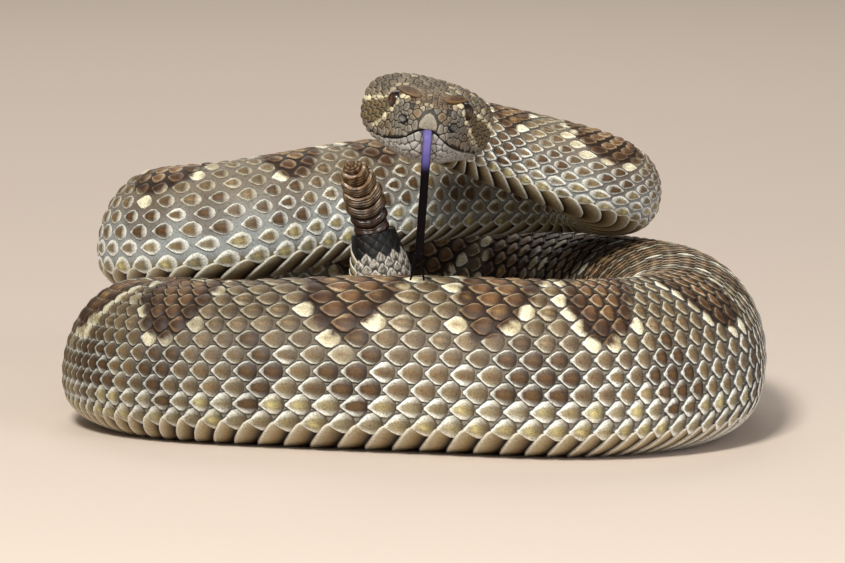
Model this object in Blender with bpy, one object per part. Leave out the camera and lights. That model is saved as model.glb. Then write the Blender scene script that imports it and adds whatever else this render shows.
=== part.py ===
"""Coiled rattlesnake, life size, at rest with its tongue out.

The animal is one long tube: every cross-section is a pair of half superellipses
carried along a smooth centre line, from the snout (0 mm) to the end of the tail.
The tube is parted into named lengths by thin cuts across it, and the head by a
thin cut along the mouth. Lengths below are millimetres; MM turns them to metres.
"""
import math

import bmesh
import bpy
import numpy as np
from mathutils import Vector

MM = 0.001

# ---------------------------------------------------------------- driving sizes
SNOUT = (2.6, -63.0, 73.1)      # tip of the snout, at the height of the mouth
HEAD_LENGTH = 38.0              # snout to nape
HEAD_LEAN = ((0.0, 10.0), (12.0, 10.5), (32.0, 15.0), (45.0, 14.0), (105.0, 0.0))
                                # behind the snout, and degrees leant to the animal's left
CUT = 0.3                       # width of the thin cuts between the pieces
BELLY = 0.95                    # belly depth as a share of the back's height
GIRTH = 1.02                    # body half width as a share of its radius
PRESS = 0.8                     # how far a lying length is pressed flat on the ground
SAG = ((0.0, 0.0), (130.0, 0.0), (185.0, 0.1), (225.0, 0.28), (330.0, 0.24), (390.0, 0.04),
       (440.0, 0.06), (480.0, 0.26), (520.0, 0.28), (700.0, 0.28), (745.0, 0.0))
                                # distance from the snout, and how far the body's widest
                                # level hangs below the middle, as a share of its radius
BACK_SQUARENESS, BELLY_SQUARENESS = 2.0, 2.4    # exponents of a body section
MIDDLE = (-0.6, -0.5)           # middle of the coil in plan, brought over the origin
SIDES = 22                      # corners of a body section
RING_STEP = 6.6                 # distance between body sections

# distance from the snout, half width, height above the mouth, depth below it,
# squareness of the crown: the head's outline in plan and in side view
HEAD_STATIONS = (
    (0.0, 2.2, 2.8, 1.2, 2.4),
    (0.7, 3.8, 4.5, 4.2, 2.4),
    (2.2, 5.4, 5.8, 6.6, 2.6),
    (6.0, 7.3, 7.0, 8.3, 2.8),
    (11.0, 9.5, 7.6, 8.8, 2.8),
    (18.0, 12.7, 8.1, 9.0, 2.7),
    (25.0, 15.1, 8.7, 9.0, 2.7),
    (29.0, 15.5, 8.8, 9.0, 2.7),
    (33.0, 13.8, 8.6, 8.8, 2.5),
    (38.0, 10.4, 8.1, 8.5, 2.2),
    (45.0, 8.8, 8.4, 8.2, 2.0),
)
JAW_SQUARENESS = 2.8            # exponent of the head's lower half

# distance from the snout and radius, down the neck, trunk and tail
BODY_STATIONS = (
    (45.0, 8.6), (60.0, 8.9), (84.0, 10.5), (100.0, 11.4), (119.0, 11.7), (159.0, 13.1),
    (204.0, 14.9), (264.0, 16.4), (334.0, 18.1), (384.0, 19.4), (440.0, 20.7),
    (534.0, 20.6), (579.0, 19.2), (619.0, 17.5), (654.0, 15.6), (689.0, 13.3),
    (724.0, 11.0), (749.0, 9.7), (769.0, 8.7), (778.0, 8.1), (784.0, 7.5), (789.0, 6.3),
    (795.0, 5.1),
)

BROW = dict(at=10.0, spread=4.2, height=0.8)    # ridge over each eye
EYE_AT = (11.0, 7.6, 3.9)       # behind the snout, out from the middle, above the mouth
EYE_RADIUS = 2.35
PIT_AT, PIT_RADIUS = (4.6, 6.6, 0.9), 1.0       # heat pit between nostril and eye
NOSTRIL_AT, NOSTRIL_RADIUS = (3.0, 4.6, 4.8), 0.55
MOUTH_ARCH, MOUTH_SPREAD, MOUTH_POWER = 6.6, 7.4, 1.6
MOUTH_GAP = 0.7
JAW_LENGTH = 31.0

TONGUE_WIDTH, TONGUE_THICK = 2.4, 1.1
TONGUE_WAIST = 0.2              # share of the width lost halfway down, and kept to the fork
TONGUE_ROOT = 4.5               # how far the tongue starts inside the mouth
TONGUE_DROP = 34.0              # from the mouth down to the fork's tips
FORK_LENGTH, FORK_SPREAD = 4.8, 1.55
TINE_RADIUS, TINE_TIP = 0.52, 0.27
TINE_APART = 0.6                # half the distance between the tines where they part

RATTLE_WIDTHS = (8.4, 8.9, 9.8, 9.6, 8.4, 6.7, 4.6)     # button to tip, back to belly
RATTLE_FLATNESS = 0.66          # thickness as a share of that width
RATTLE_LENGTH = 18.6
RATTLE_STEPS = 42                # even steps along the rattle's bent middle line

NECK_END, TAIL_START = 72.0, 738.0
TRUNK_LENGTHS = 14


# ---------------------------------------------------------------- centre line
def bend(centre, radii, start, stop, heights, step=30.0):
    """Points on an arc seen from above, its height running evenly between two values."""
    count = max(2, round(abs(stop - start) / step) + 1)
    angle = np.radians(np.linspace(start, stop, count))
    return np.stack([centre[0] + radii[0] * np.cos(angle),
                     centre[1] + radii[1] * np.sin(angle),
                     np.linspace(heights[0], heights[1], count)], 1)


def route_points():
    """The way the body lies: straight reaches are the gaps between the bends."""
    x, y, z = SNOUT
    return np.vstack([
        [(x, y, z), (x, y + 12, z), (x, y + 24, z), (x, y + 37, z - 0.2)],
        bend((16.5, -14.0), (14, 14), 180, 105, (70.4, 64.2), 25),         # nape
        bend((31.0, 20), (16, 16.5), -62, 0, (55.4, 49.1)),                # upper right
        bend((31.0, 20), (16, 16.5), 30, 90, (48.9, 48.7)),
        [(6, 32.5, 48.6), (-16, 24.2, 46.4)],                              # crossing
        bend((-37.5, 43.5), (23.5, 23.5), -100, -255, (41.7, 31.0)),       # upper left
        bend((-8, 14), (61, 53.5), 85, 18, (24.5, 8.0), 22),               # down behind
        [(58.6, 3, 12)],
        bend((35.2, -41.2), (24.2, 24.9), 0, -90, (12, 12)),               # front right
        [(8, -59.2, 12), (-25, -50.5, 12)],                                # front
        bend((-40.8, -20.3), (24, 24), -110, -255, (12, 12)),              # front left
        [(-18, 12.5, 12)],
        bend((8.5, -1.5), (14.5, 14.5), 90, -60, (10, 8)),                 # inner turn
        [(2, -15.6, 8.6), (-4.8, -15.6, 13.5), (-7.6, -14.2, 24.5)],
        [(-8.4, -13.2, 34.0), (-10.2, -13.0, 43.8)],                       # tail
    ])


def evenly(points, step):
    """The same curve with a point every step along it."""
    run = np.r_[0, np.cumsum(np.linalg.norm(np.diff(points, axis=0), axis=1))]
    at = np.linspace(0, run[-1], round(run[-1] / step) + 1)
    return np.stack([np.interp(at, run, points[:, k]) for k in range(3)], 1)


def smooth_curve(points, step=0.5, soften=4.0):
    """Centripetal Catmull-Rom through the points, then averaged with a bell weight."""
    ends = np.vstack([2 * points[0] - points[1], points, 2 * points[-1] - points[-2]])
    knots = np.r_[0, np.cumsum(np.sqrt(np.linalg.norm(np.diff(ends, axis=0), axis=1)))]
    spans = []
    for i in range(1, len(ends) - 2):
        t0, t1, t2, t3 = knots[i - 1:i + 3]
        p0, p1, p2, p3 = ends[i - 1:i + 3]
        t = np.linspace(t1, t2, 40, endpoint=False)[:, None]
        a1 = ((t1 - t) * p0 + (t - t0) * p1) / (t1 - t0)
        a2 = ((t2 - t) * p1 + (t - t1) * p2) / (t2 - t1)
        a3 = ((t3 - t) * p2 + (t - t2) * p3) / (t3 - t2)
        b1 = ((t2 - t) * a1 + (t - t0) * a2) / (t2 - t0)
        b2 = ((t3 - t) * a2 + (t - t1) * a3) / (t3 - t1)
        spans.append(((t2 - t) * b1 + (t - t1) * b2) / (t2 - t1))
    curve = evenly(np.vstack(spans + [points[-1:]]), step)
    reach = int(3 * soften / step)
    bell = np.exp(-0.5 * (np.arange(-reach, reach + 1) * step / soften) ** 2)
    bell /= bell.sum()
    before = 2 * curve[0] - curve[reach:0:-1]
    after = 2 * curve[-1] - curve[-2:-reach - 2:-1]
    padded = np.vstack([before, curve, after])
    return np.stack([np.convolve(padded[:, k], bell, "valid") for k in range(3)], 1)


def monotone(stations, at, column=1):
    """Cubic through a table's rows that never overshoots between two of them."""
    x = np.array([row[0] for row in stations])
    y = np.array([row[column] for row in stations])
    gap, rise = np.diff(x), np.diff(y)
    slope = rise / gap
    flat = slope[:-1] * slope[1:] <= 0
    mean = 2 * slope[:-1] * slope[1:] / np.where(flat, 1, slope[:-1] + slope[1:])
    tangent = np.r_[slope[0], np.where(flat, 0, mean), slope[-1]]
    at = np.clip(at, x[0], x[-1])
    k = np.clip(np.searchsorted(x, at) - 1, 0, len(x) - 2)
    u = (at - x[k]) / gap[k]
    return (y[k] + gap[k] * tangent[k] * u * (1 - u) ** 2 + rise[k] * u * u * (3 - 2 * u)
            - gap[k] * tangent[k + 1] * u * u * (1 - u))


class Spine:
    """The centre line with its forward, side and up directions at every half millimetre."""

    def __init__(self):
        points = smooth_curve(route_points()) - (*MIDDLE, 0.0)
        run = np.r_[0, np.cumsum(np.linalg.norm(np.diff(points, axis=0), axis=1))]
        lying = BELLY * monotone(BODY_STATIONS, run) - PRESS
        lift = points[:, 2] - lying
        points[:, 2] = lying + np.logaddexp(0, lift / 1.5) * 1.5
        points = evenly(points, 0.5)
        self.points = points
        self.run = np.r_[0, np.cumsum(np.linalg.norm(np.diff(points, axis=0), axis=1))]
        self.length = self.run[-1]
        ahead = np.gradient(points, axis=0)
        self.ahead = ahead / np.linalg.norm(ahead, axis=1)[:, None]
        side = np.cross(self.ahead, (0.0, 0.0, 1.0))
        side /= np.linalg.norm(side, axis=1)[:, None]
        for i in np.flatnonzero(self.run > self.length - 60.0):      # the tail stands up
            carried = side[i - 1] - self.ahead[i] * (side[i - 1] @ self.ahead[i])
            side[i] = carried / np.linalg.norm(carried)
        up = np.cross(side, self.ahead)
        lean = np.radians(monotone(HEAD_LEAN, self.run))[:, None]
        self.side = side * np.cos(lean) - up * np.sin(lean)
        self.up = up * np.cos(lean) + side * np.sin(lean)

    def at(self, distance):
        """Point, forward, side and up at a distance behind the snout."""
        found = []
        for rows in (self.points, self.ahead, self.side, self.up):
            found.append(np.array([np.interp(distance, self.run, rows[:, k]) for k in range(3)]))
        return found


SPINE = Spine()


# ---------------------------------------------------------------- cross-sections
def superellipse(angle, half_width, above, below, square_above, square_below):
    """Outline at an angle from the top, going over the animal's left side first."""
    square = np.where(np.cos(angle) >= 0, square_above, square_below)
    height = np.where(np.cos(angle) >= 0, above, below)
    sin, cos = np.sin(angle), np.cos(angle)
    reach = (np.abs(sin) ** square + np.abs(cos) ** square) ** (-1 / square)
    return half_width * reach * sin, height * reach * cos


def section(distance, sides):
    """Corners of the body's cross-section, out along side and up from the centre line."""
    angle = np.linspace(0, 2 * np.pi, sides, endpoint=False)
    if distance >= HEAD_STATIONS[-1][0]:
        radius = float(monotone(BODY_STATIONS, distance))
        sag = float(monotone(SAG, distance)) * radius
        x, z = superellipse(angle, GIRTH * radius, radius + sag, BELLY * radius - sag,
                            BACK_SQUARENESS, BELLY_SQUARENESS)
        z -= sag
    else:
        wide, above, below, crown = (monotone(HEAD_STATIONS, distance, k) for k in (1, 2, 3, 4))
        x, z = superellipse(angle, wide, above, below, crown, JAW_SQUARENESS)
        turn = np.abs((angle + np.pi) % (2 * np.pi) - np.pi)
        brow = BROW["height"] * np.exp(-((distance - BROW["at"]) / BROW["spread"]) ** 2)
        brow = brow * np.exp(-((turn - 0.85) / 0.3) ** 2)
        x, z = x + np.sign(x) * brow, z + 0.6 * brow
    return x, z


def ring(distance, sides, shift=0.0):
    """A cross-section set in space; shift moves it along the body, for the cuts."""
    point, ahead, side, up = SPINE.at(distance)
    x, z = section(distance, sides)
    corners = point + shift * ahead + x[:, None] * side + z[:, None] * up
    corners[:, 2] = np.maximum(corners[:, 2], 0.0)      # pressed flat on the ground
    return corners


# ---------------------------------------------------------------- Blender helpers
def skin_material(name, colour, roughness):
    material = bpy.data.materials.new(name)
    material.use_nodes = True
    shader = material.node_tree.nodes["Principled BSDF"]
    shader.inputs["Base Color"].default_value = (*colour, 1.0)
    shader.inputs["Roughness"].default_value = roughness
    shader.inputs["Metallic"].default_value = 0.0
    return material


def add_object(name, mesh, collection, material=None):
    thing = bpy.data.objects.new(name, mesh)
    collection.objects.link(thing)
    if material:
        mesh.materials.append(material)
    return thing


def loft_mesh(name, rings):
    """Closed mesh through rings of equal corner count, with a flat face on each end."""
    bm = bmesh.new()
    loops = [[bm.verts.new(Vector(corner) * MM) for corner in points] for points in rings]
    for near, far in zip(loops, loops[1:]):
        for k in range(len(near)):
            after = (k + 1) % len(near)
            bm.faces.new((near[k], near[after], far[after], far[k]))
    bm.faces.new(loops[0])
    bm.faces.new(loops[-1])
    bmesh.ops.recalc_face_normals(bm, faces=bm.faces)
    mesh = bpy.data.meshes.new(name)
    bm.to_mesh(mesh)
    bm.free()
    mesh.shade_smooth()
    mesh.set_sharp_from_angle(angle=math.radians(40))
    return mesh


def ball_mesh(name, centre, radius, segments, rings):
    bm = bmesh.new()
    bmesh.ops.create_uvsphere(bm, u_segments=segments, v_segments=rings, radius=radius * MM)
    bmesh.ops.translate(bm, verts=bm.verts, vec=Vector(centre) * MM)
    mesh = bpy.data.meshes.new(name)
    bm.to_mesh(mesh)
    bm.free()
    mesh.shade_smooth()
    return mesh


def combine(thing, others, operation):
    """Apply exact Booleans of the other objects to one object's mesh."""
    for other in others:
        step = thing.modifiers.new(operation.lower(), "BOOLEAN")
        step.operation = operation
        step.solver = "EXACT"
        step.object = other
    seen = thing.evaluated_get(bpy.context.evaluated_depsgraph_get())
    mesh = bpy.data.meshes.new_from_object(seen)
    thing.modifiers.clear()
    thing.data = mesh
    return thing


def islands(mesh):
    """The mesh's separate closed bodies, largest first, as new meshes."""
    bm = bmesh.new()
    bm.from_mesh(mesh)
    bm.verts.ensure_lookup_table()
    left, groups = set(bm.verts), []
    while left:
        stack, group = [next(iter(left))], set()
        while stack:
            vertex = stack.pop()
            if vertex not in group:
                group.add(vertex)
                stack.extend(edge.other_vert(vertex) for edge in vertex.link_edges)
        left -= group
        groups.append({vertex.index for vertex in group})
    bm.free()
    meshes = []
    for group in sorted(groups, key=len, reverse=True):
        part = bmesh.new()
        part.from_mesh(mesh)
        part.verts.ensure_lookup_table()
        gone = [vertex for vertex in part.verts if vertex.index not in group]
        bmesh.ops.delete(part, geom=gone, context="VERTS")
        piece = bpy.data.meshes.new(mesh.name)
        part.to_mesh(piece)
        part.free()
        meshes.append(piece)
    return meshes


# ---------------------------------------------------------------- head
def head_point(behind, out, above):
    """A place in the head: behind the snout, out to the side, above the mouth."""
    point, ahead, side, up = SPINE.at(behind)
    return point + side * out + up * above


def mouth_height(out):
    """The closed lips arch up to the middle: high at the snout, low at the cheeks."""
    return -MOUTH_ARCH * (1 - np.exp(-(np.abs(out) / MOUTH_SPREAD) ** MOUTH_POWER))


def mouth_cutter(collection):
    """A thin arched sheet between the lips, and a thin wall down behind the jaw."""
    out = np.linspace(-19, 19, 27)
    lips = mouth_height(out)
    gap, low = MOUTH_GAP / 2, -16.0
    there_and_back = np.r_[out, out[::-1]]
    sheet = np.stack([there_and_back, np.r_[lips + gap, (lips - gap)[::-1]]], 1)
    wall = np.stack([there_and_back, np.r_[lips, np.full(len(out), low)]], 1)
    things = []
    for name, outline, start, stop in (("mouth_gap", sheet, -4.0, JAW_LENGTH + CUT / 2),
                                       ("jaw_gap", wall, JAW_LENGTH, JAW_LENGTH + CUT)):
        rings = [[head_point_level(at, x, z) for x, z in outline] for at in (start, stop)]
        things.append(add_object(name, loft_mesh(name, rings), collection))
    return things


def head_point_level(behind, out, above):
    """As head_point, with the head's straight axis also carried in front of the snout."""
    point, ahead, side, up = SPINE.at(0.0)
    return point + ahead * behind + side * out + up * above


def build_head(pieces, cutters, materials):
    """The head's tube, hollowed for eyes, pits and nostrils and parted along the mouth."""
    stations = np.r_[0.0, 0.3, 0.7, 1.3, 2.2, 3.4, 4.8, 6.4, 8.2, 10.0, 11.8,
                     np.linspace(14.0, HEAD_LENGTH - CUT / 2, 11)]
    whole = add_object("head", loft_mesh("head", [ring(at, 28) for at in stations]), pieces)
    gaps = mouth_cutter(cutters)
    for sign, flank in ((1, "left"), (-1, "right")):
        for name, (behind, out, above), radius, count in (
                ("socket_" + flank, EYE_AT, EYE_RADIUS + CUT, 14),
                ("pit_" + flank, PIT_AT, PIT_RADIUS, 8),
                ("nostril_" + flank, NOSTRIL_AT, NOSTRIL_RADIUS, 6)):
            centre = head_point(behind, sign * out, above)
            ball = ball_mesh(name, centre, radius, count, count // 2)
            gaps.append(add_object(name, ball, cutters))
    channel = tongue_rings(grow=CUT)
    gaps.append(add_object("tongue_channel", loft_mesh("tongue_channel", channel[:6]), cutters))
    combine(whole, gaps, "DIFFERENCE")
    upper, lower = islands(whole.data)[:2]
    if sum(v.co.z for v in upper.vertices) / len(upper.vertices) < sum(
            v.co.z for v in lower.vertices) / len(lower.vertices):
        upper, lower = lower, upper
    for mesh in (upper, lower):
        mesh.shade_smooth()
        mesh.set_sharp_from_angle(angle=math.radians(40))
        mesh.materials.clear()
    whole.data = upper
    upper.materials.append(materials["hide"])
    add_object("lower_jaw", lower, pieces, materials["lip"])
    for sign, flank in ((1, "left"), (-1, "right")):
        centre = head_point(EYE_AT[0], sign * EYE_AT[1], EYE_AT[2])
        add_object("eye_" + flank, ball_mesh("eye_" + flank, centre, EYE_RADIUS, 12, 7),
                   pieces, materials["eye"])


# ---------------------------------------------------------------- tongue
def tongue_route(count=16):
    """Out of the mouth, over the lower lip in a quarter turn, then straight down."""
    x, y, z = SPINE.points[0]
    turn = 2.0
    arc = np.radians(np.linspace(0, 90, 6))
    inside = [(x, y + TONGUE_ROOT, z - 0.55), (x, y + 1.6, z - 0.55)]
    over = [(x, y - 0.4 - turn * math.sin(a), z - 0.55 - turn * (1 - math.cos(a))) for a in arc]
    drop = np.linspace(5.0, TONGUE_DROP - FORK_LENGTH, count - 8)
    down = [(x - 2.4 * (d / TONGUE_DROP) ** 1.2, over[-1][1], z - d) for d in drop]
    return np.array(inside + over + down)


def tube_rings(route, half_widths, half_thicks, sides=8):
    """Flat oval rings square to a route that stays near one upright plane."""
    ahead = np.gradient(route, axis=0)
    ahead /= np.linalg.norm(ahead, axis=1)[:, None]
    across = np.array([(1.0, 0.0, 0.0)] * len(route)) - ahead * ahead[:, :1]
    across /= np.linalg.norm(across, axis=1)[:, None]
    face = np.cross(across, ahead)
    angle = np.linspace(0, 2 * np.pi, sides, endpoint=False)
    return [p + np.outer(np.cos(angle) * w, a) + np.outer(np.sin(angle) * t, f)
            for p, a, f, w, t in zip(route, across, face, half_widths, half_thicks)]


def tongue_rings(grow=0.0):
    """The tongue's single part; grow gives the slightly wider way out of the mouth."""
    route = tongue_route()
    share = np.linspace(0, 1, len(route))
    wide = TONGUE_WIDTH / 2 * (1 - TONGUE_WAIST * np.minimum(2 * share, 1)) + grow
    thick = TONGUE_THICK / 2 * (1 - TONGUE_WAIST * share) + grow
    return tube_rings(route, wide, thick)


def build_tongue(pieces, cutters, materials):
    """The flat stem joined to two round tines that taper and spread to the tips."""
    stem = add_object("tongue", loft_mesh("tongue", tongue_rings()), pieces)
    end = tongue_route()[-1]
    tines = []
    for sign in (-1, 1):
        drop = np.linspace(-1.5, FORK_LENGTH, 7)
        share = np.clip(drop / FORK_LENGTH, 0, 1)
        out = TINE_APART + (FORK_SPREAD - TINE_APART) * share ** 1.1
        route = end + np.stack([sign * out - 0.06 * drop, 0 * drop, -drop], 1)
        half = np.linspace(TINE_RADIUS, TINE_TIP, len(drop))
        name = "tine_left" if sign > 0 else "tine_right"
        tines.append(add_object(name, loft_mesh(name, tube_rings(route, half, half, 6)), cutters))
    combine(stem, tines, "UNION")
    stem.data.materials.clear()
    stem.data.materials.append(materials["tongue"])


# ---------------------------------------------------------------- body lengths
def build_body(pieces, materials):
    """Neck, trunk lengths and tail: the one tube, cut across at even distances."""
    trunk_cuts = np.linspace(NECK_END, TAIL_START, TRUNK_LENGTHS + 1)
    cuts = [HEAD_LENGTH, *trunk_cuts, SPINE.length]
    names = ["neck"] + [f"trunk_{k + 1:02d}" for k in range(TRUNK_LENGTHS)] + ["tail"]
    for name, start, stop in zip(names, cuts, cuts[1:]):
        spans = max(3, round((stop - start) / RING_STEP))
        rings = [ring(start, SIDES, CUT / 2)]
        rings += [ring(at, SIDES) for at in np.linspace(start, stop, spans + 1)[1:-1]]
        rings.append(ring(stop, SIDES, -CUT / 2))
        add_object(name, loft_mesh(name, rings), pieces, materials["hide"])


# ---------------------------------------------------------------- rattle
def rattle_route():
    """The string of horn rings leans to the animal's belly side and nods forward."""
    point, ahead, side, up = SPINE.at(SPINE.length)
    share = np.linspace(0, 1, RATTLE_STEPS + 1)[:, None]
    lean = -0.18 * share * up - (0.15 * share + 0.65 * share ** 2) * side
    heading = ahead + lean
    heading /= np.linalg.norm(heading, axis=1)[:, None]
    steps = heading * RATTLE_LENGTH / RATTLE_STEPS
    route = point + np.vstack([np.zeros(3), np.cumsum(steps, axis=0)[:-1]])
    return route, heading


def build_rattle(pieces, materials):
    """Horn rings in a row, each swelling from its base and closing in before the next."""
    route, heading = rattle_route()
    side = SPINE.at(SPINE.length)[2]
    profile = ((0.0, 0.88), (0.18, 0.99), (0.45, 1.0), (0.75, 0.93), (1.0, 0.80))
    angle = np.linspace(0, 2 * np.pi, 14, endpoint=False)
    lengths = np.array(RATTLE_WIDTHS) ** 0.5
    ends = np.r_[0, np.cumsum(lengths)] / lengths.sum()
    for k, width in enumerate(RATTLE_WIDTHS):
        rings = []
        for share, swell in profile:
            start, stop = ends[k] * RATTLE_LENGTH + CUT, ends[k + 1] * RATTLE_LENGTH
            along = (start + (stop - start) * share) / RATTLE_LENGTH * RATTLE_STEPS
            whole = np.arange(RATTLE_STEPS + 1)
            point = np.array([np.interp(along, whole, route[:, c]) for c in range(3)])
            ahead = np.array([np.interp(along, whole, heading[:, c]) for c in range(3)])
            ahead /= np.linalg.norm(ahead)
            thick = side - ahead * (side @ ahead)
            thick /= np.linalg.norm(thick)
            wide = np.cross(ahead, thick)
            half = width / 2 * swell
            x, z = superellipse(angle, RATTLE_FLATNESS * half, half, half, 2.5, 2.5)
            rings.append(point + np.outer(x, thick) + np.outer(z, wide))
        name = f"rattle_{k + 1}"
        add_object(name, loft_mesh(name, rings), pieces, materials["horn"])


def main():
    for thing in list(bpy.data.objects):
        bpy.data.objects.remove(thing, do_unlink=True)
    pieces = bpy.data.collections.new("coiled_rattlesnake")
    cutters = bpy.data.collections.new("cutters")
    for collection in (pieces, cutters):
        bpy.context.scene.collection.children.link(collection)
    materials = {
        "hide": skin_material("hide", (0.24, 0.19, 0.13), 0.55),
        "lip": skin_material("lip", (0.50, 0.48, 0.44), 0.5),
        "eye": skin_material("eye", (0.09, 0.04, 0.02), 0.08),
        "tongue": skin_material("tongue", (0.03, 0.015, 0.05), 0.25),
        "horn": skin_material("horn", (0.30, 0.17, 0.08), 0.4),
    }
    build_head(pieces, cutters, materials)
    build_tongue(pieces, cutters, materials)
    build_body(pieces, materials)
    build_rattle(pieces, materials)
    for cutter in cutters.objects:
        cutter.hide_render = True
        cutter.display_type = "WIRE"


main()
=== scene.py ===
"""Looks of the coiled rattlesnake: one skin, its scales, eyes, tongue and horn rattle.

The animal is one tube. A place on it is given by two numbers: along, millimetres
from the snout down the centre line, and around, from 0 on the back's middle to 1
on the belly's middle over the left side, and to -1 over the right side, in equal
steps of arc. Lengths are millimetres in the CAD frame; MM turns them to metres.
"""
import math

import bpy
import numpy as np
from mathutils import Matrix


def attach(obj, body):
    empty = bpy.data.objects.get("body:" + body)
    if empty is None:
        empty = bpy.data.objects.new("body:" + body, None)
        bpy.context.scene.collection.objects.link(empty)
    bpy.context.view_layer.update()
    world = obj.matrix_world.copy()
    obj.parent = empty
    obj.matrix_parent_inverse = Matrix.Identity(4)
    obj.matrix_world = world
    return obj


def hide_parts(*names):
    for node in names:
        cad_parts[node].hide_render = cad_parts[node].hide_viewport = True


MM = 0.001
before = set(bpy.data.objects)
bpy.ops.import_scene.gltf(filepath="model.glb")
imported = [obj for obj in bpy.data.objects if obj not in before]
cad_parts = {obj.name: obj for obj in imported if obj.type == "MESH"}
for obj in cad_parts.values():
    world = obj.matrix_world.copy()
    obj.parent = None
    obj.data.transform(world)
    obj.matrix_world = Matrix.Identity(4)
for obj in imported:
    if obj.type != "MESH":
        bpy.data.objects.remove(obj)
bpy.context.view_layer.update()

# ---------------------------------------------------------------- driving sizes, as in the solids
SNOUT = (2.6, -63.0, 73.1)
HEAD_LEAN = ((0.0, 10.0), (12.0, 10.5), (32.0, 15.0), (45.0, 14.0), (105.0, 0.0))
BELLY, GIRTH, PRESS = 0.95, 1.02, 0.8
SAG = ((0.0, 0.0), (130.0, 0.0), (185.0, 0.1), (225.0, 0.28), (330.0, 0.24), (390.0, 0.04),
       (440.0, 0.06), (480.0, 0.26), (520.0, 0.28), (700.0, 0.28), (745.0, 0.0))
BACK_SQUARENESS, BELLY_SQUARENESS, JAW_SQUARENESS = 2.0, 2.4, 2.8
MIDDLE = (-0.6, -0.5)
NOSE_ROUND = 0.5                # how far the rounded nose stands before the first station
HEAD_STATIONS = (
    (-0.5, 0.3, 0.5, 0.2, 2.4), (-0.3, 1.3, 1.7, 0.8, 2.4),
    (0.0, 2.4, 2.9, 1.7, 2.4), (0.7, 3.8, 4.5, 4.2, 2.4), (2.2, 5.4, 5.8, 6.6, 2.6),
    (6.0, 7.3, 7.0, 8.3, 2.8), (11.0, 9.5, 7.6, 8.8, 2.8), (18.0, 12.7, 8.1, 9.0, 2.7),
    (25.0, 15.1, 8.7, 9.0, 2.7), (29.0, 15.5, 8.8, 9.0, 2.7), (33.0, 13.8, 8.6, 8.8, 2.5),
    (38.0, 10.4, 8.1, 8.5, 2.2), (45.0, 8.8, 8.4, 8.2, 2.0),
)
HEAD_END, NECK_START = 45.0, 46          # the head's last section; where the plates end
BODY_STATIONS = (
    (45.0, 8.6), (60.0, 8.9), (84.0, 10.5), (100.0, 11.4), (119.0, 11.7), (159.0, 13.1),
    (204.0, 14.9), (264.0, 16.4), (334.0, 18.1), (384.0, 19.4), (440.0, 20.7),
    (534.0, 20.6), (579.0, 19.2), (619.0, 17.5), (654.0, 15.6), (689.0, 13.3),
    (724.0, 11.0), (749.0, 9.7), (769.0, 8.7), (778.0, 8.1), (784.0, 7.5), (789.0, 6.3),
    (795.0, 5.1),
)
BROW = dict(at=10.0, spread=4.2, height=0.8, turn=0.85, width=0.3)
BROW_PLATE = dict(behind=11.3, half=7.0, width=2.4, above=6.9,
                  middle=((4, 8, 12, 17), (2.9, 4.6, 5.9, 7.2)))
HEAD_SHELL = 0.42                # how far the plates' edges stay inside the smooth outline
EYE_AT, EYE_RADIUS = (11.0, 7.6, 3.9), 2.35
PIT_AT, PIT_RADIUS = (3.7, 6.0, 1.0), 1.15
NOSTRIL_AT, NOSTRIL_RADIUS = (2.6, 4.5, 4.6), 0.42
MOUTH_ARCH, MOUTH_SPREAD, MOUTH_POWER = 6.6, 7.4, 1.6
JAW_LENGTH = 31.0
TONGUE_WIDTH, TONGUE_THICK, TONGUE_WAIST = 2.4, 1.1, 0.2
TONGUE_ROOT, TONGUE_DROP = 4.5, 34.0
FORK_LENGTH, FORK_SPREAD = 4.8, 1.55
TINE_RADIUS, TINE_TIP, TINE_APART = 0.52, 0.27, 0.6
RATTLE_WIDTHS = (8.4, 8.9, 9.8, 9.6, 8.4, 6.7, 4.6)
RATTLE_FLATNESS, RATTLE_LENGTH, RATTLE_RIDGES = 0.66, 18.6, 5

# ---------------------------------------------------------------- scales and markings
# distance from the snout, and how far apart scales of one row are along the body
SCALE_LENGTH = ((40.0, 2.9), (60.0, 3.7), (71.0, 4.0), (85.0, 4.35), (92.0, 4.3), (104.0, 3.8),
                (118.0, 4.0), (165.0, 4.5), (210.0, 4.65), (235.0, 4.9), (330.0, 5.2),
                (440.0, 4.8), (470.0, 3.4), (480.0, 2.7), (490.0, 2.4), (497.0, 2.9),
                (504.0, 3.9), (512.0, 5.6), (520.0, 6.5), (533.0, 6.6), (568.0, 6.2),
                (577.0, 4.6), (586.0, 3.5), (595.0, 2.6), (604.0, 1.9), (612.0, 2.2),
                (628.0, 4.2), (660.0, 4.6), (720.0, 3.9), (765.0, 3.2), (795.0, 2.5))
# where each set of rows starts and ends, how many rows it has, and one row's share around
ROW_SETS = ((43.0, 121.0, 25, 0.0605), (119.0, 264.0, 21, 0.077), (262.0, 645.0, 25, 0.0605),
            (643.0, 768.0, 21, 0.068), (766.0, 794.5, 17, 0.084))
LOWEST_DROP = 0.012             # the row beside the belly plates sits this much lower
# distance from the snout, and how far around the middle row has rolled to the left
ROLL = ((40.0, 0.0), (60.0, -0.1), (71.0, -0.13), (83.0, -0.10), (92.0, -0.075),
        (104.0, -0.015), (120.0, 0.05), (150.0, 0.1), (195.0, 0.155), (240.0, 0.15),
        (300.0, 0.08), (612.0, 0.08), (680.0, 0.0), (795.0, 0.0))
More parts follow.
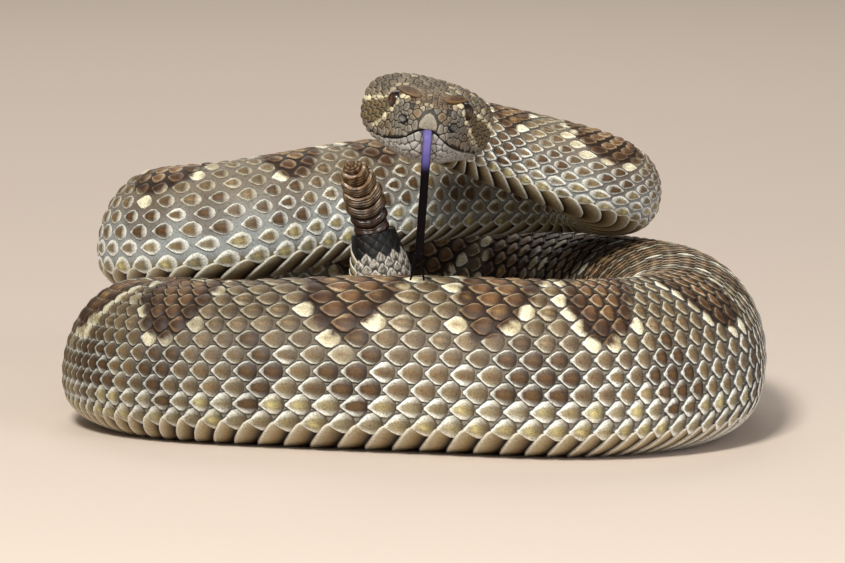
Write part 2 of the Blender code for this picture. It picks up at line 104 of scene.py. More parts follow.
# distance from the snout, and how much of its cell a scale fills where skin is stretched
SCALE_FILL = ((40.0, 0.95), (75.0, 0.93), (92.0, 0.84), (112.0, 0.82), (150.0, 0.9),
              (195.0, 0.86), (215.0, 0.78), (245.0, 0.78), (310.0, 0.9), (440.0, 0.94),
              (540.0, 0.97), (795.0, 0.98))
COAT_DEPTH = 0.032              # skin below the scales' tips, as a share of the radius
SHELL = 0.22                    # how far the scales' tips stay inside the smooth outline
SCALE_REACH, SCALE_WIDE = 0.94, 1.2     # a scale's size, in spacings of its row and of rows
# a scale's slope, rear tilt, dome and keel, its rim's edge and its wall's foot at the base
# and at the tip, all in depths of the coat
SCALE_BASE, SCALE_SLOPE, SCALE_TILT, SCALE_DOME, SCALE_KEEL = -1.12, 0.52, 0.42, 0.3, 0.16
SCALE_RIM, BASE_FOOT, TIP_FOOT = 0.1, -1.45, -0.98
COAT_PARTS, CHART_ROWS = 8, 26  # pieces of the scaly coat, and strips in each one's map
BELLY_REACH = (42.0, 790.5)     # where the belly plates start and end
SHADOW_SKIRT = 0.6                     # how far the wall under a scale's free edge spreads out, showing its painted shadow as a dark line
# middle and half length of each dark blotch down the back
BLOTCHES = ((57, 5), (74, 5.5), (97.5, 10), (121, 8), (143, 8), (163, 7), (181, 6.5),
            (200, 7), (230, 12), (258, 9.5), (281, 9.5), (304, 9.5), (328, 9.5), (353, 10),
            (381, 10), (405, 9), (428, 9), (450, 8), (472.5, 9), (494.5, 6.5), (514.5, 10),
            (548, 12), (588, 8.5), (608, 7), (630, 9), (652, 8), (672, 8), (692, 7), (710, 6),
            (727, 5.5), (743, 4.5), (757, 4), (769, 3.2), (779, 2.5))
BLOTCH_REACH = 0.43             # how far around a blotch reaches from the middle row
# middle and half length of each dark mark low on the flank
FLANK_MARKS = ((57, 4), (74, 4), (86, 4), (98, 4), (121, 5), (143, 5), (163, 5), (181, 5),
               (203, 4), (217, 3), (229, 5), (258, 6), (281, 6), (304, 6), (328, 6), (353, 6),
               (381, 6), (405, 6), (428, 6), (450, 5), (468, 3), (486, 4), (505, 6.5),
               (546, 7), (568, 5), (588, 3.5), (601, 4), (630, 6), (652, 6), (672, 5),
               (692, 5), (710, 5), (727, 5), (743, 4))
FLANK_LEVEL, FLANK_SPREAD = 0.54, 0.135
# marks, level and spread around, powers along and around, raggedness and its grain
BLOTCH = (BLOTCHES, 0.0, BLOTCH_REACH, 1.5, 2.6, 0.16, 1.6)
FLANK = (FLANK_MARKS, FLANK_LEVEL, FLANK_SPREAD, 2.0, 2.0, 0.2, 1.9)
LOOSE_FILL = 0.93               # a smaller fill shows the stretched skin's own look
HIND_DARK, HIND_START = 0.33, (525, 600)        # the body darkens towards its hind end
TAIL_START, BAND_START = (752, 768), (786.6, 787.8)     # grey tail, black band
TAIL_REACH = 60.0               # where the side direction is carried on, not levelled


def unit(vectors):
    """The same directions with a length of 1."""
    return vectors / np.maximum(np.linalg.norm(vectors, axis=-1, keepdims=True), 1e-9)


def bell(value, width):
    """1 at 0 and falling off evenly on both sides."""
    return np.exp(-(value / width) ** 2)


def run_along(*columns):
    """Distance run at each point of a curve given by its columns, from 0 at the first."""
    return np.r_[0, np.cumsum(np.sqrt(sum(np.diff(column) ** 2 for column in columns)))]


def read_rows(at, where, rows):
    """Rows of three columns at any distances, straight between the known ones."""
    return np.stack([np.interp(at, where, rows[:, k]) for k in range(3)], -1)


def bend(centre, radii, start, stop, heights, step=30.0):
    """Points on an arc seen from above, its height running evenly between two values."""
    count = max(2, round(abs(stop - start) / step) + 1)
    angle = np.radians(np.linspace(start, stop, count))
    return np.stack([centre[0] + radii[0] * np.cos(angle),
                     centre[1] + radii[1] * np.sin(angle),
                     np.linspace(heights[0], heights[1], count)], 1)


def route_points():
    """The way the body lies: straight reaches are the gaps between the bends."""
    x, y, z = SNOUT
    return np.vstack([
        [(x, y, z), (x, y + 12, z), (x, y + 24, z), (x, y + 37, z - 0.2)],
        bend((16.5, -14.0), (14, 14), 180, 105, (70.4, 64.2), 25),
        bend((31.0, 20), (16, 16.5), -62, 0, (55.4, 49.1)),
        bend((31.0, 20), (16, 16.5), 30, 90, (48.9, 48.7)),
        [(6, 32.5, 48.6), (-16, 24.2, 46.4)],
        bend((-37.5, 43.5), (23.5, 23.5), -100, -255, (41.7, 31.0)),
        bend((-8, 14), (61, 53.5), 85, 18, (24.5, 8.0), 22),
        [(58.6, 3, 12)],
        bend((35.2, -41.2), (24.2, 24.9), 0, -90, (12, 12)),
        [(8, -59.2, 12), (-25, -50.5, 12)],
        bend((-40.8, -20.3), (24, 24), -110, -255, (12, 12)),
        [(-18, 12.5, 12)],
        bend((8.5, -1.5), (14.5, 14.5), 90, -60, (10, 8)),
        [(2, -15.6, 8.6), (-4.8, -15.6, 13.5), (-7.6, -14.2, 24.5)],
        [(-8.4, -13.2, 34.0), (-10.2, -13.0, 43.8)],
    ])


def evenly(points, step):
    """The same curve with a point every step along it."""
    run = run_along(*points.T)
    return read_rows(np.linspace(0, run[-1], round(run[-1] / step) + 1), run, points)


def between(t, start, stop, first, second):
    """Straight from first at the start to second at the stop."""
    return ((stop - t) * first + (t - start) * second) / (stop - start)


def smooth_curve(points, step=0.5, soften=4.0):
    """Centripetal Catmull-Rom through the points, then averaged with a bell weight."""
    ends = np.vstack([2 * points[0] - points[1], points, 2 * points[-1] - points[-2]])
    knots = np.r_[0, np.cumsum(np.sqrt(np.linalg.norm(np.diff(ends, axis=0), axis=1)))]
    spans = []
    for i in range(1, len(ends) - 2):
        s, p = knots[i - 1:i + 3], ends[i - 1:i + 3]
        t = np.linspace(s[1], s[2], 40, endpoint=False)[:, None]
        a = [between(t, s[k], s[k + 1], p[k], p[k + 1]) for k in range(3)]
        b = [between(t, s[k], s[k + 2], a[k], a[k + 1]) for k in range(2)]
        spans.append(between(t, s[1], s[2], *b))
    curve = evenly(np.vstack(spans + [points[-1:]]), step)
    reach = int(3 * soften / step)
    weight = np.exp(-0.5 * (np.arange(-reach, reach + 1) * step / soften) ** 2)
    before = 2 * curve[0] - curve[reach:0:-1]
    after = 2 * curve[-1] - curve[-2:-reach - 2:-1]
    padded = np.vstack([before, curve, after])
    return np.stack([np.convolve(column, weight / weight.sum(), "valid")
                     for column in padded.T], 1)


def monotone(stations, at, column=1):
    """Cubic through a table's rows that never overshoots between two of them."""
    x = np.array([row[0] for row in stations])
    y = np.array([row[column] for row in stations])
    gap, rise = np.diff(x), np.diff(y)
    slope = rise / gap
    flat = slope[:-1] * slope[1:] <= 0
    mean = 2 * slope[:-1] * slope[1:] / np.where(flat, 1, slope[:-1] + slope[1:])
    tangent = np.r_[slope[0], np.where(flat, 0, mean), slope[-1]]
    at = np.clip(at, x[0], x[-1])
    k = np.clip(np.searchsorted(x, at) - 1, 0, len(x) - 2)
    u = (at - x[k]) / gap[k]
    return (y[k] + gap[k] * tangent[k] * u * (1 - u) ** 2 + rise[k] * u * u * (3 - 2 * u)
            - gap[k] * tangent[k + 1] * u * u * (1 - u))


def spine():
    """Centre line every half millimetre: run, place, forward, side and up directions."""
    points = smooth_curve(route_points()) - (*MIDDLE, 0.0)
    lying = BELLY * monotone(BODY_STATIONS, run_along(*points.T)) - PRESS
    points[:, 2] = lying + np.logaddexp(0, (points[:, 2] - lying) / 1.5) * 1.5
    points = evenly(points, 0.5)
    run = run_along(*points.T)
    ahead = unit(np.gradient(points, axis=0))
    side = unit(np.cross(ahead, (0.0, 0.0, 1.0)))
    for i in np.flatnonzero(run > run[-1] - TAIL_REACH):
        side[i] = unit(side[i - 1] - ahead[i] * (side[i - 1] @ ahead[i]))
    up = np.cross(side, ahead)
    lean = np.radians(monotone(HEAD_LEAN, run))[:, None]
    return (run, points, ahead, side * np.cos(lean) - up * np.sin(lean),
            up * np.cos(lean) + side * np.sin(lean))


RUN, CENTRE, AHEAD, SIDE, UP = spine()
LENGTH = RUN[-1]


def along_rows(rows, at):
    """Rows of the centre line's table at any distances; before the snout they stay."""
    return read_rows(np.asarray(at, float), RUN, rows)


def centre_at(at):
    """The centre line, which runs on straight before the snout."""
    before = np.minimum(np.asarray(at, float), 0.0)[..., None]
    return along_rows(CENTRE, at) + before * AHEAD[0]


def superellipse(angle, half_width, above, below, square_above, square_below):
    """Outline at an angle from the top, going over the animal's left side first."""
    over = np.cos(angle) >= 0
    square = np.where(over, square_above, square_below)
    height = np.where(over, above, below)
    sin, cos = np.sin(angle), np.cos(angle)
    reach = (np.abs(sin) ** square + np.abs(cos) ** square) ** (-1 / square)
    return half_width * reach * sin, height * reach * cos


def head_sizes(at):
    """Half width, height above and below the mouth and squareness of the head's section."""
    return [monotone(HEAD_STATIONS, at, k) for k in (1, 2, 3, 4)]


def brow_swell(behind, angle):
    """How far the bone over the eye stands out: a bell along the head and one around it."""
    return (BROW["height"] * bell(behind - BROW["at"], BROW["spread"])
            * bell(angle - BROW["turn"], BROW["width"]))


def half_section(at, count=181):
    """Left half of the cross-section from the back's middle to the belly's middle."""
    angle = np.linspace(0, np.pi, count)
    if at >= HEAD_END:
        radius = float(monotone(BODY_STATIONS, at))
        sag = float(monotone(SAG, at)) * radius
        x, z = superellipse(angle, GIRTH * radius, radius + sag, BELLY * radius - sag,
                            BACK_SQUARENESS, BELLY_SQUARENESS)
        return x, z - sag
    wide, above, below, crown = head_sizes(at)
    x, z = superellipse(angle, wide, above, below, crown, JAW_SQUARENESS)
    brow = brow_swell(at, angle)
    return x + brow, z + 0.6 * brow


# ---------------------------------------------------------------- the whole surface as one lattice
ALONG = np.r_[np.arange(-NOSE_ROUND, 3, 0.1), np.arange(3, NECK_START, 0.25),
              np.arange(NECK_START, LENGTH, 0.5), LENGTH]
AROUND = np.linspace(-1, 1, 385)


def surface_lattice():
    """Places and outward normals on a lattice of along and around, with half arc lengths."""
    places = np.empty((len(ALONG), len(AROUND), 3))
    half_arc = np.empty(len(ALONG))
    centre, side, up = centre_at(ALONG), along_rows(SIDE, ALONG), along_rows(UP, ALONG)
    for i, at in enumerate(ALONG):
        x, z = half_section(at)
        arc = run_along(x, z)
        half_arc[i] = arc[-1]
        run = np.abs(AROUND) * arc[-1]
        out, high = np.interp(run, arc, x) * np.sign(AROUND), np.interp(run, arc, z)
        places[i] = centre[i] + out[:, None] * side[i] + high[:, None] * up[i]
    places[:, :, 2] = np.maximum(places[:, :, 2], 0.0)
    down = np.gradient(places, ALONG, axis=0)
    over = np.gradient(places, AROUND, axis=1)
    over[:, 0] = over[:, -1] = (places[:, 1] - places[:, -2]) / (2 * (AROUND[1] - AROUND[0]))
    return places, unit(np.cross(over, down)), half_arc


PLACES, NORMALS, HALF_ARC = surface_lattice()


def on_surface(along, around, height=0.0):
    """Places at a height over the surface, by two-way linear reading of the lattice."""
    row = np.interp(along, ALONG, np.arange(len(ALONG)))
    column = ((np.asarray(around) + 1) % 2) / 2 * (len(AROUND) - 1)
    r = np.clip(row.astype(int), 0, len(ALONG) - 2)
    c = np.clip(column.astype(int), 0, len(AROUND) - 2)
    u, w = (row - r)[..., None], (column - c)[..., None]

    def read(table):
        """The table's rows between the four lattice points round each place."""
        return ((table[r, c] * (1 - u) + table[r + 1, c] * u) * (1 - w)
                + (table[r, c + 1] * (1 - u) + table[r + 1, c + 1] * u) * w)

    normal = unit(read(NORMALS))
    return read(PLACES) + np.asarray(height)[..., None] * normal, normal


def radius_at(along):
    """The trunk's radius; the head counts as its end."""
    return monotone(BODY_STATIONS, np.maximum(along, HEAD_END))


# ---------------------------------------------------------------- colours
def linear(code):
    """An sRGB hex colour turned linear."""
    value = np.array([int(code[k:k + 2], 16) for k in (0, 2, 4)]) / 255
    return np.where(value <= 0.04045, value / 12.92, ((value + 0.055) / 1.055) ** 2.4)


def mix(first, second, share):
    """Blend of two colours, hex codes or linear arrays; the share may be an array."""
    first, second = (linear(c) if isinstance(c, str) else c for c in (first, second))
    share = np.clip(np.asarray(share, float), 0, 1)[..., None]
    return first * (1 - share) + second * share


def layered(tone, *layers):
    """Colours laid over a tone one after another, each with its share."""
    for colour, share in layers:
        tone = mix(tone, colour, share)
    return tone


def rise(value, low, high):
    """Smooth step from 0 at low to 1 at high."""
    t = np.clip((value - low) / (high - low), 0, 1)
    return t * t * (3 - 2 * t)


def fall(value, low, high):
    """Smooth step from 1 at low to 0 at high."""
    return 1 - rise(value, low, high)


def hashed(*keys):
    """Repeatable number between 0 and 1 for whole-number keys."""
    total = np.zeros(np.broadcast(*keys).shape)
    for k, key in enumerate(keys):
        total = total + np.asarray(key, float) * (12.9898 + 65.113 * k)
    return np.modf(np.abs(np.sin(total) * 43758.5453))[0]


def turned(along, around):
    """Around measured from the middle of the rolled back, between -1 and 1."""
    return (around - monotone(ROLL, along) + 1) % 2 - 1


def wander(along, around, size):
    """Smooth noise between -1 and 1: hashed values at whole steps, eased in between."""
    u, w = np.asarray(along) / size, np.asarray(around) * 60.0 / size
    i, j = np.floor(u), np.floor(w)
    fu, fw = rise(u - i, 0, 1), rise(w - j, 0, 1)
    near = hashed(i, j) * (1 - fu) + hashed(i + 1, j) * fu
    far = hashed(i, j + 1) * (1 - fu) + hashed(i + 1, j + 1) * fu
    return 2 * (near * (1 - fw) + far * fw) - 1


def mark_field(along, around, marks, level, spread, power, power_around, ragged, grain):
    """1 on a mark's border, less inside: powers of the distances along and around."""
    middle, half = np.array(marks, float).T
    near = (np.abs(np.asarray(along)[..., None] - middle) / half).min(-1)
    off = np.abs(np.abs(turned(along, around)) - level) / spread
    return near ** power + off ** power_around + ragged * wander(along, around, grain)


def looseness(at):
    """0 where scales lie close, 1 where the skin between them is stretched."""
    return rise(LOOSE_FILL - monotone(SCALE_FILL, at), 0.0, 0.08)


def scale_paint(at, around, along, over, p, q, key, low):
    """Colours on body scales: at and around say where a scale sits, along and over where
    a point of it is, p and q where the point is on the scale, low how near the belly."""
    chance, other, third = hashed(key), hashed(key, 3.0), hashed(key, 11.0)
    fleck, loose = hashed(key, 17 * p + 5 * q), looseness(at)
    flank, foot = rise(low, 0.42, 0.74), rise(low, 0.76, 0.9)
    broad = 0.2 * foot + 0.2 * (third > 0.9)
    side = rise(np.abs(q), 0.74 - broad, 0.98 - broad)
    edge = np.maximum(side, rise(p, 0.84, 0.98)) * rise(p, 0.22, 0.55)
    edge = np.maximum(edge, 0.7 * loose * np.maximum(side, fall(p, 0.14, 0.24)))
    middle = bell(q, 0.55) * rise(p, 0.15, 0.4) * fall(p, 0.62, 0.9)
    keel = bell(q, 0.13) * rise(p, 0.15, 0.35) * fall(p, 0.6, 0.8)
    # plain scales: a darker base, painted shade where the scale lies under the one before; a brown
    # or straw heart; a pale keel, a painted highlight along its ridge; and a pale rim, partly the
    # scale's own pale edge and partly a painted highlight
    ground = layered(mix("6c5f48", "8a7c63", chance), ("948b6f", flank * (0.1 + 0.6 * third)),
                     ("b4b098", foot * 0.7)) * (1 - 0.32 * loose)[..., None]
    straw = mix(mix("a09270", "e9db94", rise(other, 0.25, 0.75)), "7a6743",
                rise(fleck, 0.55, 0.75) * 0.7)
    yellow = rise(low, 0.84, 0.93) + 0.5 * rise(low, 0.74, 0.84) * (third > 0.4)
    heart = mix(mix("624629", "8a6b40", other), straw, yellow)
    base = mix(mix("3c2d1a", "4d3d28", chance), "584b35", flank * 0.5)
    # over the ground go the heart, the keel's painted highlight and the base's painted shade
    tone = layered(ground, (heart, middle * (0.6 + 0.3 * flank)),
                   ("b3986c", keel * (1 - flank) * rise(third, 0.5, 0.8) * 0.6),
                   (base, fall(p, 0.1, 0.62) * 0.92)) * (0.88 + 0.24 * fleck)[..., None]
    # the rim colour is partly the scale's own pale edge and partly a painted highlight, near white
    # low on the flank
    rim = mix(mix("d6cbae", "fdfff6", flank), "e9e3cb", rise(other, 0.6, 0.9) * 0.4)
    # dark marks low on the flank
    mark = fall(mark_field(at, around, *FLANK) + 0.6 * (third - 0.5), 0.85, 1.15) * 0.92
    brown = mix("2a1c0f", "614524", middle + 0.2 * rise(p, 0.3, 0.8))
    # blotches, with single cream scales round them that the dark edge cuts into
    here, centre = mark_field(along, over, *BLOTCH), mark_field(at, around, *BLOTCH)
    cream = rise(centre, 0.86, 0.96) * fall(centre, 1.22, 1.34) * (third > 0.3)
    # cream scales are browner at the base too: painted shade under the scale before
    pale = layered(mix("ede6c4", "fffbea", edge), ("7d6b42", fall(p, 0.05, 0.4) * 0.75),
                   ("8f7443", middle * rise(other, 0.25, 0.7) * 0.85))
    depth = np.clip(rise(here, 0.2, 0.8) + 0.35 * (chance - 0.5), 0, 1)
    deep = mix(mix("835f3b", "412a19", depth), "c9a468",
               middle * (chance > 0.7) * (1 - depth) * 0.8)
    # blotch scales turn near black at the base and sides: painted shade at the base, the blotch's
    # own dark edge at the sides
    deep = mix("2b1a0e", deep, rise(p, 0.02, 0.34) * (0.5 + 0.5 * middle))
    deep = mix(deep, mix("cdb48f", "7d6145", depth), edge * 0.9)
    grey = layered(mix("8f8677", "bab1a2", chance), ("e2dccf", edge),
                   ("4c443b", rise(fleck, 0.5, 0.7) * (1 - 0.5 * edge)))
    tail = rise(at, *TAIL_START)
    tone = layered(tone, (rim, edge * (0.8 + 0.2 * flank)),
                   (mix(brown, rim, edge * 0.85), mark), (pale, cream),
                   (deep, fall(here, 0.92, 1.02)),
                   (mix("241e17", grey, rise(p, 0.05, 0.35)), tail))
    tone = tone * (1 - HIND_DARK * rise(at, *HIND_START) * (1 - tail))[..., None]
    return mix(tone, "060505", rise(0.6 * at + 0.4 * along, *BAND_START))


def skin_paint(along, around):
    """Skin between the scales: greyish, dark in the blotches, pale and cool low down."""
    low, stretched = np.abs(turned(along, around)), 1 - monotone(SCALE_FILL, along)
    tone = layered(mix("6f6353", "7a7062", (stretched - 0.05) * 7),
                   (mix("98968a", "9da3a3", (stretched - 0.03) * 9), rise(low, 0.4, 0.7) * 0.9),
                   ("5a4b38", 0.55 * fall(mark_field(along, around, *FLANK), 0.6, 1.3)),
                   ("2a1a0f", fall(mark_field(along, around, *BLOTCH), 0.9, 1.1)),
                   ("7a6f55", rise(low, 0.74, 0.8)))
    tone = tone * (1 - HIND_DARK * rise(along, *HIND_START))[..., None]
    return layered(tone, ("4d463b", rise(along, *TAIL_START)),
                   ("070606", rise(along, *BAND_START)))


# ---------------------------------------------------------------- mesh making
def grid_faces(rows, columns, wrap=False):
    """Quads of a lattice, facing out where rows run to the tail and columns to the left."""
    i, j = np.meshgrid(np.arange(rows - 1), np.arange(columns - 1 + wrap), indexing="ij")
    k = (j + 1) % columns
    quads = np.stack([i * columns + j, i * columns + k, (i + 1) * columns + k,
                      (i + 1) * columns + j], -1)
    return quads.reshape(-1, 4)


def circle(count):
    """Angles once round."""
    return np.linspace(0, 2 * np.pi, count, endpoint=False)


def loft(middles, across, high, x, z):
    """A tube's lattice: at each middle, x times the across and z times the high direction."""
    return (middles[:, None] + x[..., None] * across[..., None, :]
            + z[..., None] * high[..., None, :])


def tube_faces(rows, turns):
    """Faces of a loft with both its ends closed, facing out where it turns left-handed."""
    ring = np.arange(turns)[None]
    return [grid_faces(rows, turns, wrap=True)[:, ::-1], ring,
            (rows - 1) * turns + ring[:, ::-1]]


def put(name, data, place=(0, 0, 0), turn=(0, 0, 0)):
    """A new object with its data, linked into the scene."""
    thing = bpy.data.objects.new(name, data)
    thing.location, thing.rotation_euler = place, turn
    bpy.context.scene.collection.objects.link(thing)
    return thing


def repeated(faces, count, size):
    """The same faces for many copies of one patch of vertices."""
    return (faces[None] + (np.arange(count) * size)[:, None, None]).reshape(-1, faces.shape[1])


def make_piece(name, material, places, faces, tint, chart=None):
    """An object at the origin from places in mm, face arrays, colours and a map."""
    corners = np.concatenate([group.ravel() for group in faces])
    sizes = np.concatenate([np.full(len(group), group.shape[1]) for group in faces])
    places, tint = places.reshape(-1, 3), tint.reshape(-1, 3)
    mesh = bpy.data.meshes.new(name)
    mesh.vertices.add(len(places))
    mesh.vertices.foreach_set("co", (places * MM).astype(np.float32).ravel())
    mesh.loops.add(len(corners))
    mesh.loops.foreach_set("vertex_index", corners.astype(np.int32))
    mesh.polygons.add(len(sizes))
    mesh.polygons.foreach_set("loop_start", np.r_[0, np.cumsum(sizes)[:-1]].astype(np.int32))
    mesh.update(calc_edges=True)
    mesh.validate()
    mesh.shade_smooth()
    layer = mesh.color_attributes.new("tint", "FLOAT_COLOR", "POINT")
    rgba = np.concatenate([np.clip(tint, 0, 1), np.ones((len(tint), 1))], 1)
    layer.data.foreach_set("color", rgba.astype(np.float32).ravel())
    if chart is not None:
        layer = mesh.uv_layers.new(name="OFBake")
        layer.data.foreach_set("uv", chart.reshape(-1, 2)[corners].astype(np.float32).ravel())
    mesh.materials.append(material)
    return put(name, mesh)


def add(tree, kind, settings=None, links=None):
    """Add a node with its settings and the links into it."""
    node = tree.nodes.new(kind)
    for key, value in (settings or {}).items():
        if key in node.inputs:
            node.inputs[key].default_value = value
        else:
            setattr(node, key, value)
    for key, source in (links or {}).items():
        tree.links.new(source, node.inputs[key])
    return node


def new_material(name, roughness, specular=0.5, coat=0.0, coat_roughness=0.1):
    """A material set to a finish, with its node tree and its shader."""
    material = bpy.data.materials.new(name)
    material.use_nodes = True
    shader = material.node_tree.nodes["Principled BSDF"]
    for key, value in (("Roughness", roughness), ("Specular IOR Level", specular),
                       ("Coat Weight", coat), ("Coat Roughness", coat_roughness)):
        shader.inputs[key].default_value = value
    return material, material.node_tree, shader


def keratin(name, roughness, grain_mm, grain_depth, mottle=0.18, specular=0.45, coat=0.0):
    """Dry keratin: its own tint with a fine mottle, and a fine grain in the surface."""
    material, tree, shader = new_material(name, roughness, specular, coat)
    tint = add(tree, "ShaderNodeVertexColor", {"layer_name": "tint"})
    where = add(tree, "ShaderNodeTexCoord")
    noises = [add(tree, "ShaderNodeTexNoise",
                  {"Scale": 1 / (size * grain_mm * MM), "Detail": detail},
                  {"Vector": where.outputs["Object"]})
              for size, detail in ((1.0, 3.0), (1.1, 2.0))]
    limits = ((0.3, 0.7, 1 - mottle, 1 + mottle), (0.56, 0.66, 1.0, 1 - 2 * mottle))
    shades = [add(tree, "ShaderNodeMapRange",
                  dict(zip(("From Min", "From Max", "To Min", "To Max"), limit)),
                  {"Value": noise.outputs["Fac"]}) for noise, limit in zip(noises, limits)]
    both = add(tree, "ShaderNodeMath", {"operation": "MULTIPLY"},
               {k: shade.outputs["Result"] for k, shade in enumerate(shades)})
    shade = add(tree, "ShaderNodeVectorMath", {"operation": "SCALE"},
                {"Vector": tint.outputs["Color"], "Scale": both.outputs["Value"]})
    bump = add(tree, "ShaderNodeBump", {"Strength": 0.6, "Distance": grain_depth * MM},
               {"Height": noises[0].outputs["Fac"]})
    tree.links.new(shade.outputs["Vector"], shader.inputs["Base Color"])
    tree.links.new(bump.outputs["Normal"], shader.inputs["Normal"])
    return material


# ---------------------------------------------------------------- the skin
def mouth_height(out):
    """The closed lips arch up to the middle: high at the snout, low at the cheeks."""
    return -MOUTH_ARCH * (1 - np.exp(-(np.abs(out) / MOUTH_SPREAD) ** MOUTH_POWER))


def lip_around(at):
    """Around value where the closed mouth meets the head's surface, at a distance."""
    x, z = half_section(max(at, 0.0))
    arc, over = run_along(x, z), z - mouth_height(x)
    k = int(np.argmax(over < 0))
    share = over[k - 1] / (over[k - 1] - over[k])
    return (arc[k - 1] + share * (arc[k] - arc[k - 1])) / arc[-1]


LIP_TABLE = np.array([[at, lip_around(at)] for at in np.arange(0.0, JAW_LENGTH + 2, 0.5)])


def head_frame(points):
    """Behind, out and above of places near the head; its centre line is straight there."""
    behind = (points - CENTRE[0]) @ AHEAD[0]
    offset = points - centre_at(behind)
    return behind, (offset * along_rows(SIDE, behind)).sum(-1), (
        offset * along_rows(UP, behind)).sum(-1)


def head_place(behind, out, above):
    """A place given behind the snout, out to the left and above the mouth."""
    behind = np.asarray(behind, float)
    return (centre_at(behind) + along_rows(SIDE, behind) * np.asarray(out)[..., None]
            + along_rows(UP, behind) * np.asarray(above)[..., None])


def pit_gap(points):
    """Distance from a pit's middle as it faces, forwards: out and above alone."""
    behind, out, above = head_frame(points)
    gap = np.hypot(np.abs(out) - PIT_AT[1], above - PIT_AT[2])
    return np.where(np.abs(behind - PIT_AT[0]) < 3.2, gap, 9.0)


def head_dents(points):
    """How deep the skin sinks at the pits, nostrils and round the eyes."""
    depth = 0.8 * fall(pit_gap(points), 0.65 * PIT_RADIUS, PIT_RADIUS)
    for (behind, out, above), radius, deep in ((NOSTRIL_AT, NOSTRIL_RADIUS, 1.0),
                                               (EYE_AT, EYE_RADIUS, 0.9)):
        for sign in (-1, 1):
            gap = np.linalg.norm(points - head_place(behind, sign * out, above), axis=-1)
            depth = depth + deep * fall(gap, radius * 0.75, radius * 1.25)
    return depth


def head_paint(points):
    """Markings of the head from behind, out and above: bands, patches and pale lips."""
    behind, out, above = head_frame(points)
    wide, lips = np.abs(out), mouth_height(out)
    crown = mix("7b6f5b", "5c4c36", 0.5 + 0.5 * wander(behind, out * 0.02, 3.0))
    nose = fall(np.abs(wide - 3.8), 1.0, 1.9) * fall(np.abs(above - 3.6), 1.2, 1.9)
    # heights of the pale stripes above and below the dark cheek, from their distance behind
    upper = np.interp(behind, (13, 14.5, 16, 18, 20, 23.2, 27, 36),
                      (5.2, 4.5, 3.8, 3.0, 2.5, 1.4, 0.9, 0.2))
    lower = np.interp(behind, (7, 8.5, 10.7, 12.5, 13.6, 15.9, 18.5, 21),
                      (4.4, 3.3, 1.7, 0.1, -1.5, -2.75, -3.8, -4.6))
    over = above - upper
    cheek = rise(behind, 11.5, 12.5) * rise(-over, 0.2, 0.9) * rise(above - lower, 0.2, 0.9)
    labial = rise(lips + 2.6 - above, 0, 0.8) * (1 - cheek)
    jaw = rise(lips - above, -0.1, 0.2) * (behind < JAW_LENGTH + 1)
    return layered(
        mix("664f36", crown, rise(behind, 7, 15)),
        ("716c62", rise(5.6 - above, 0, 1.2) * fall(behind, 8.5, 10.5)),
        ("6b5739", nose * fall(behind, 1.6, 2.6)), ("5f4d2c", cheek),
        ("776a55", rise(behind, 12, 14) * rise(over, 0.3, 0.9) * fall(over, 2.2, 3.2)),
        ("efe5be", rise(behind, 12.2, 13.2) * fall(np.abs(over), 0.35, 0.65)),
        ("e3dab6", rise(behind, 6.8, 7.8) * fall(np.abs(above - lower), 0.5, 0.9)
         * fall(behind, 17, 19)),
        ("7d776e", labial * 0.8),
        ("86745c", labial * fall(np.abs(behind - 8.5), 1.5, 3.5) * (above > lips) * 0.8),
        ("a3a19f", jaw), ("a9a08c", jaw * rise(behind, 14, 26) * 0.6),
        ("d6cba6", fall(np.hypot(behind - 7.2, above - 5.9), 0.9, 1.9) * (wide > 4) * 0.8))


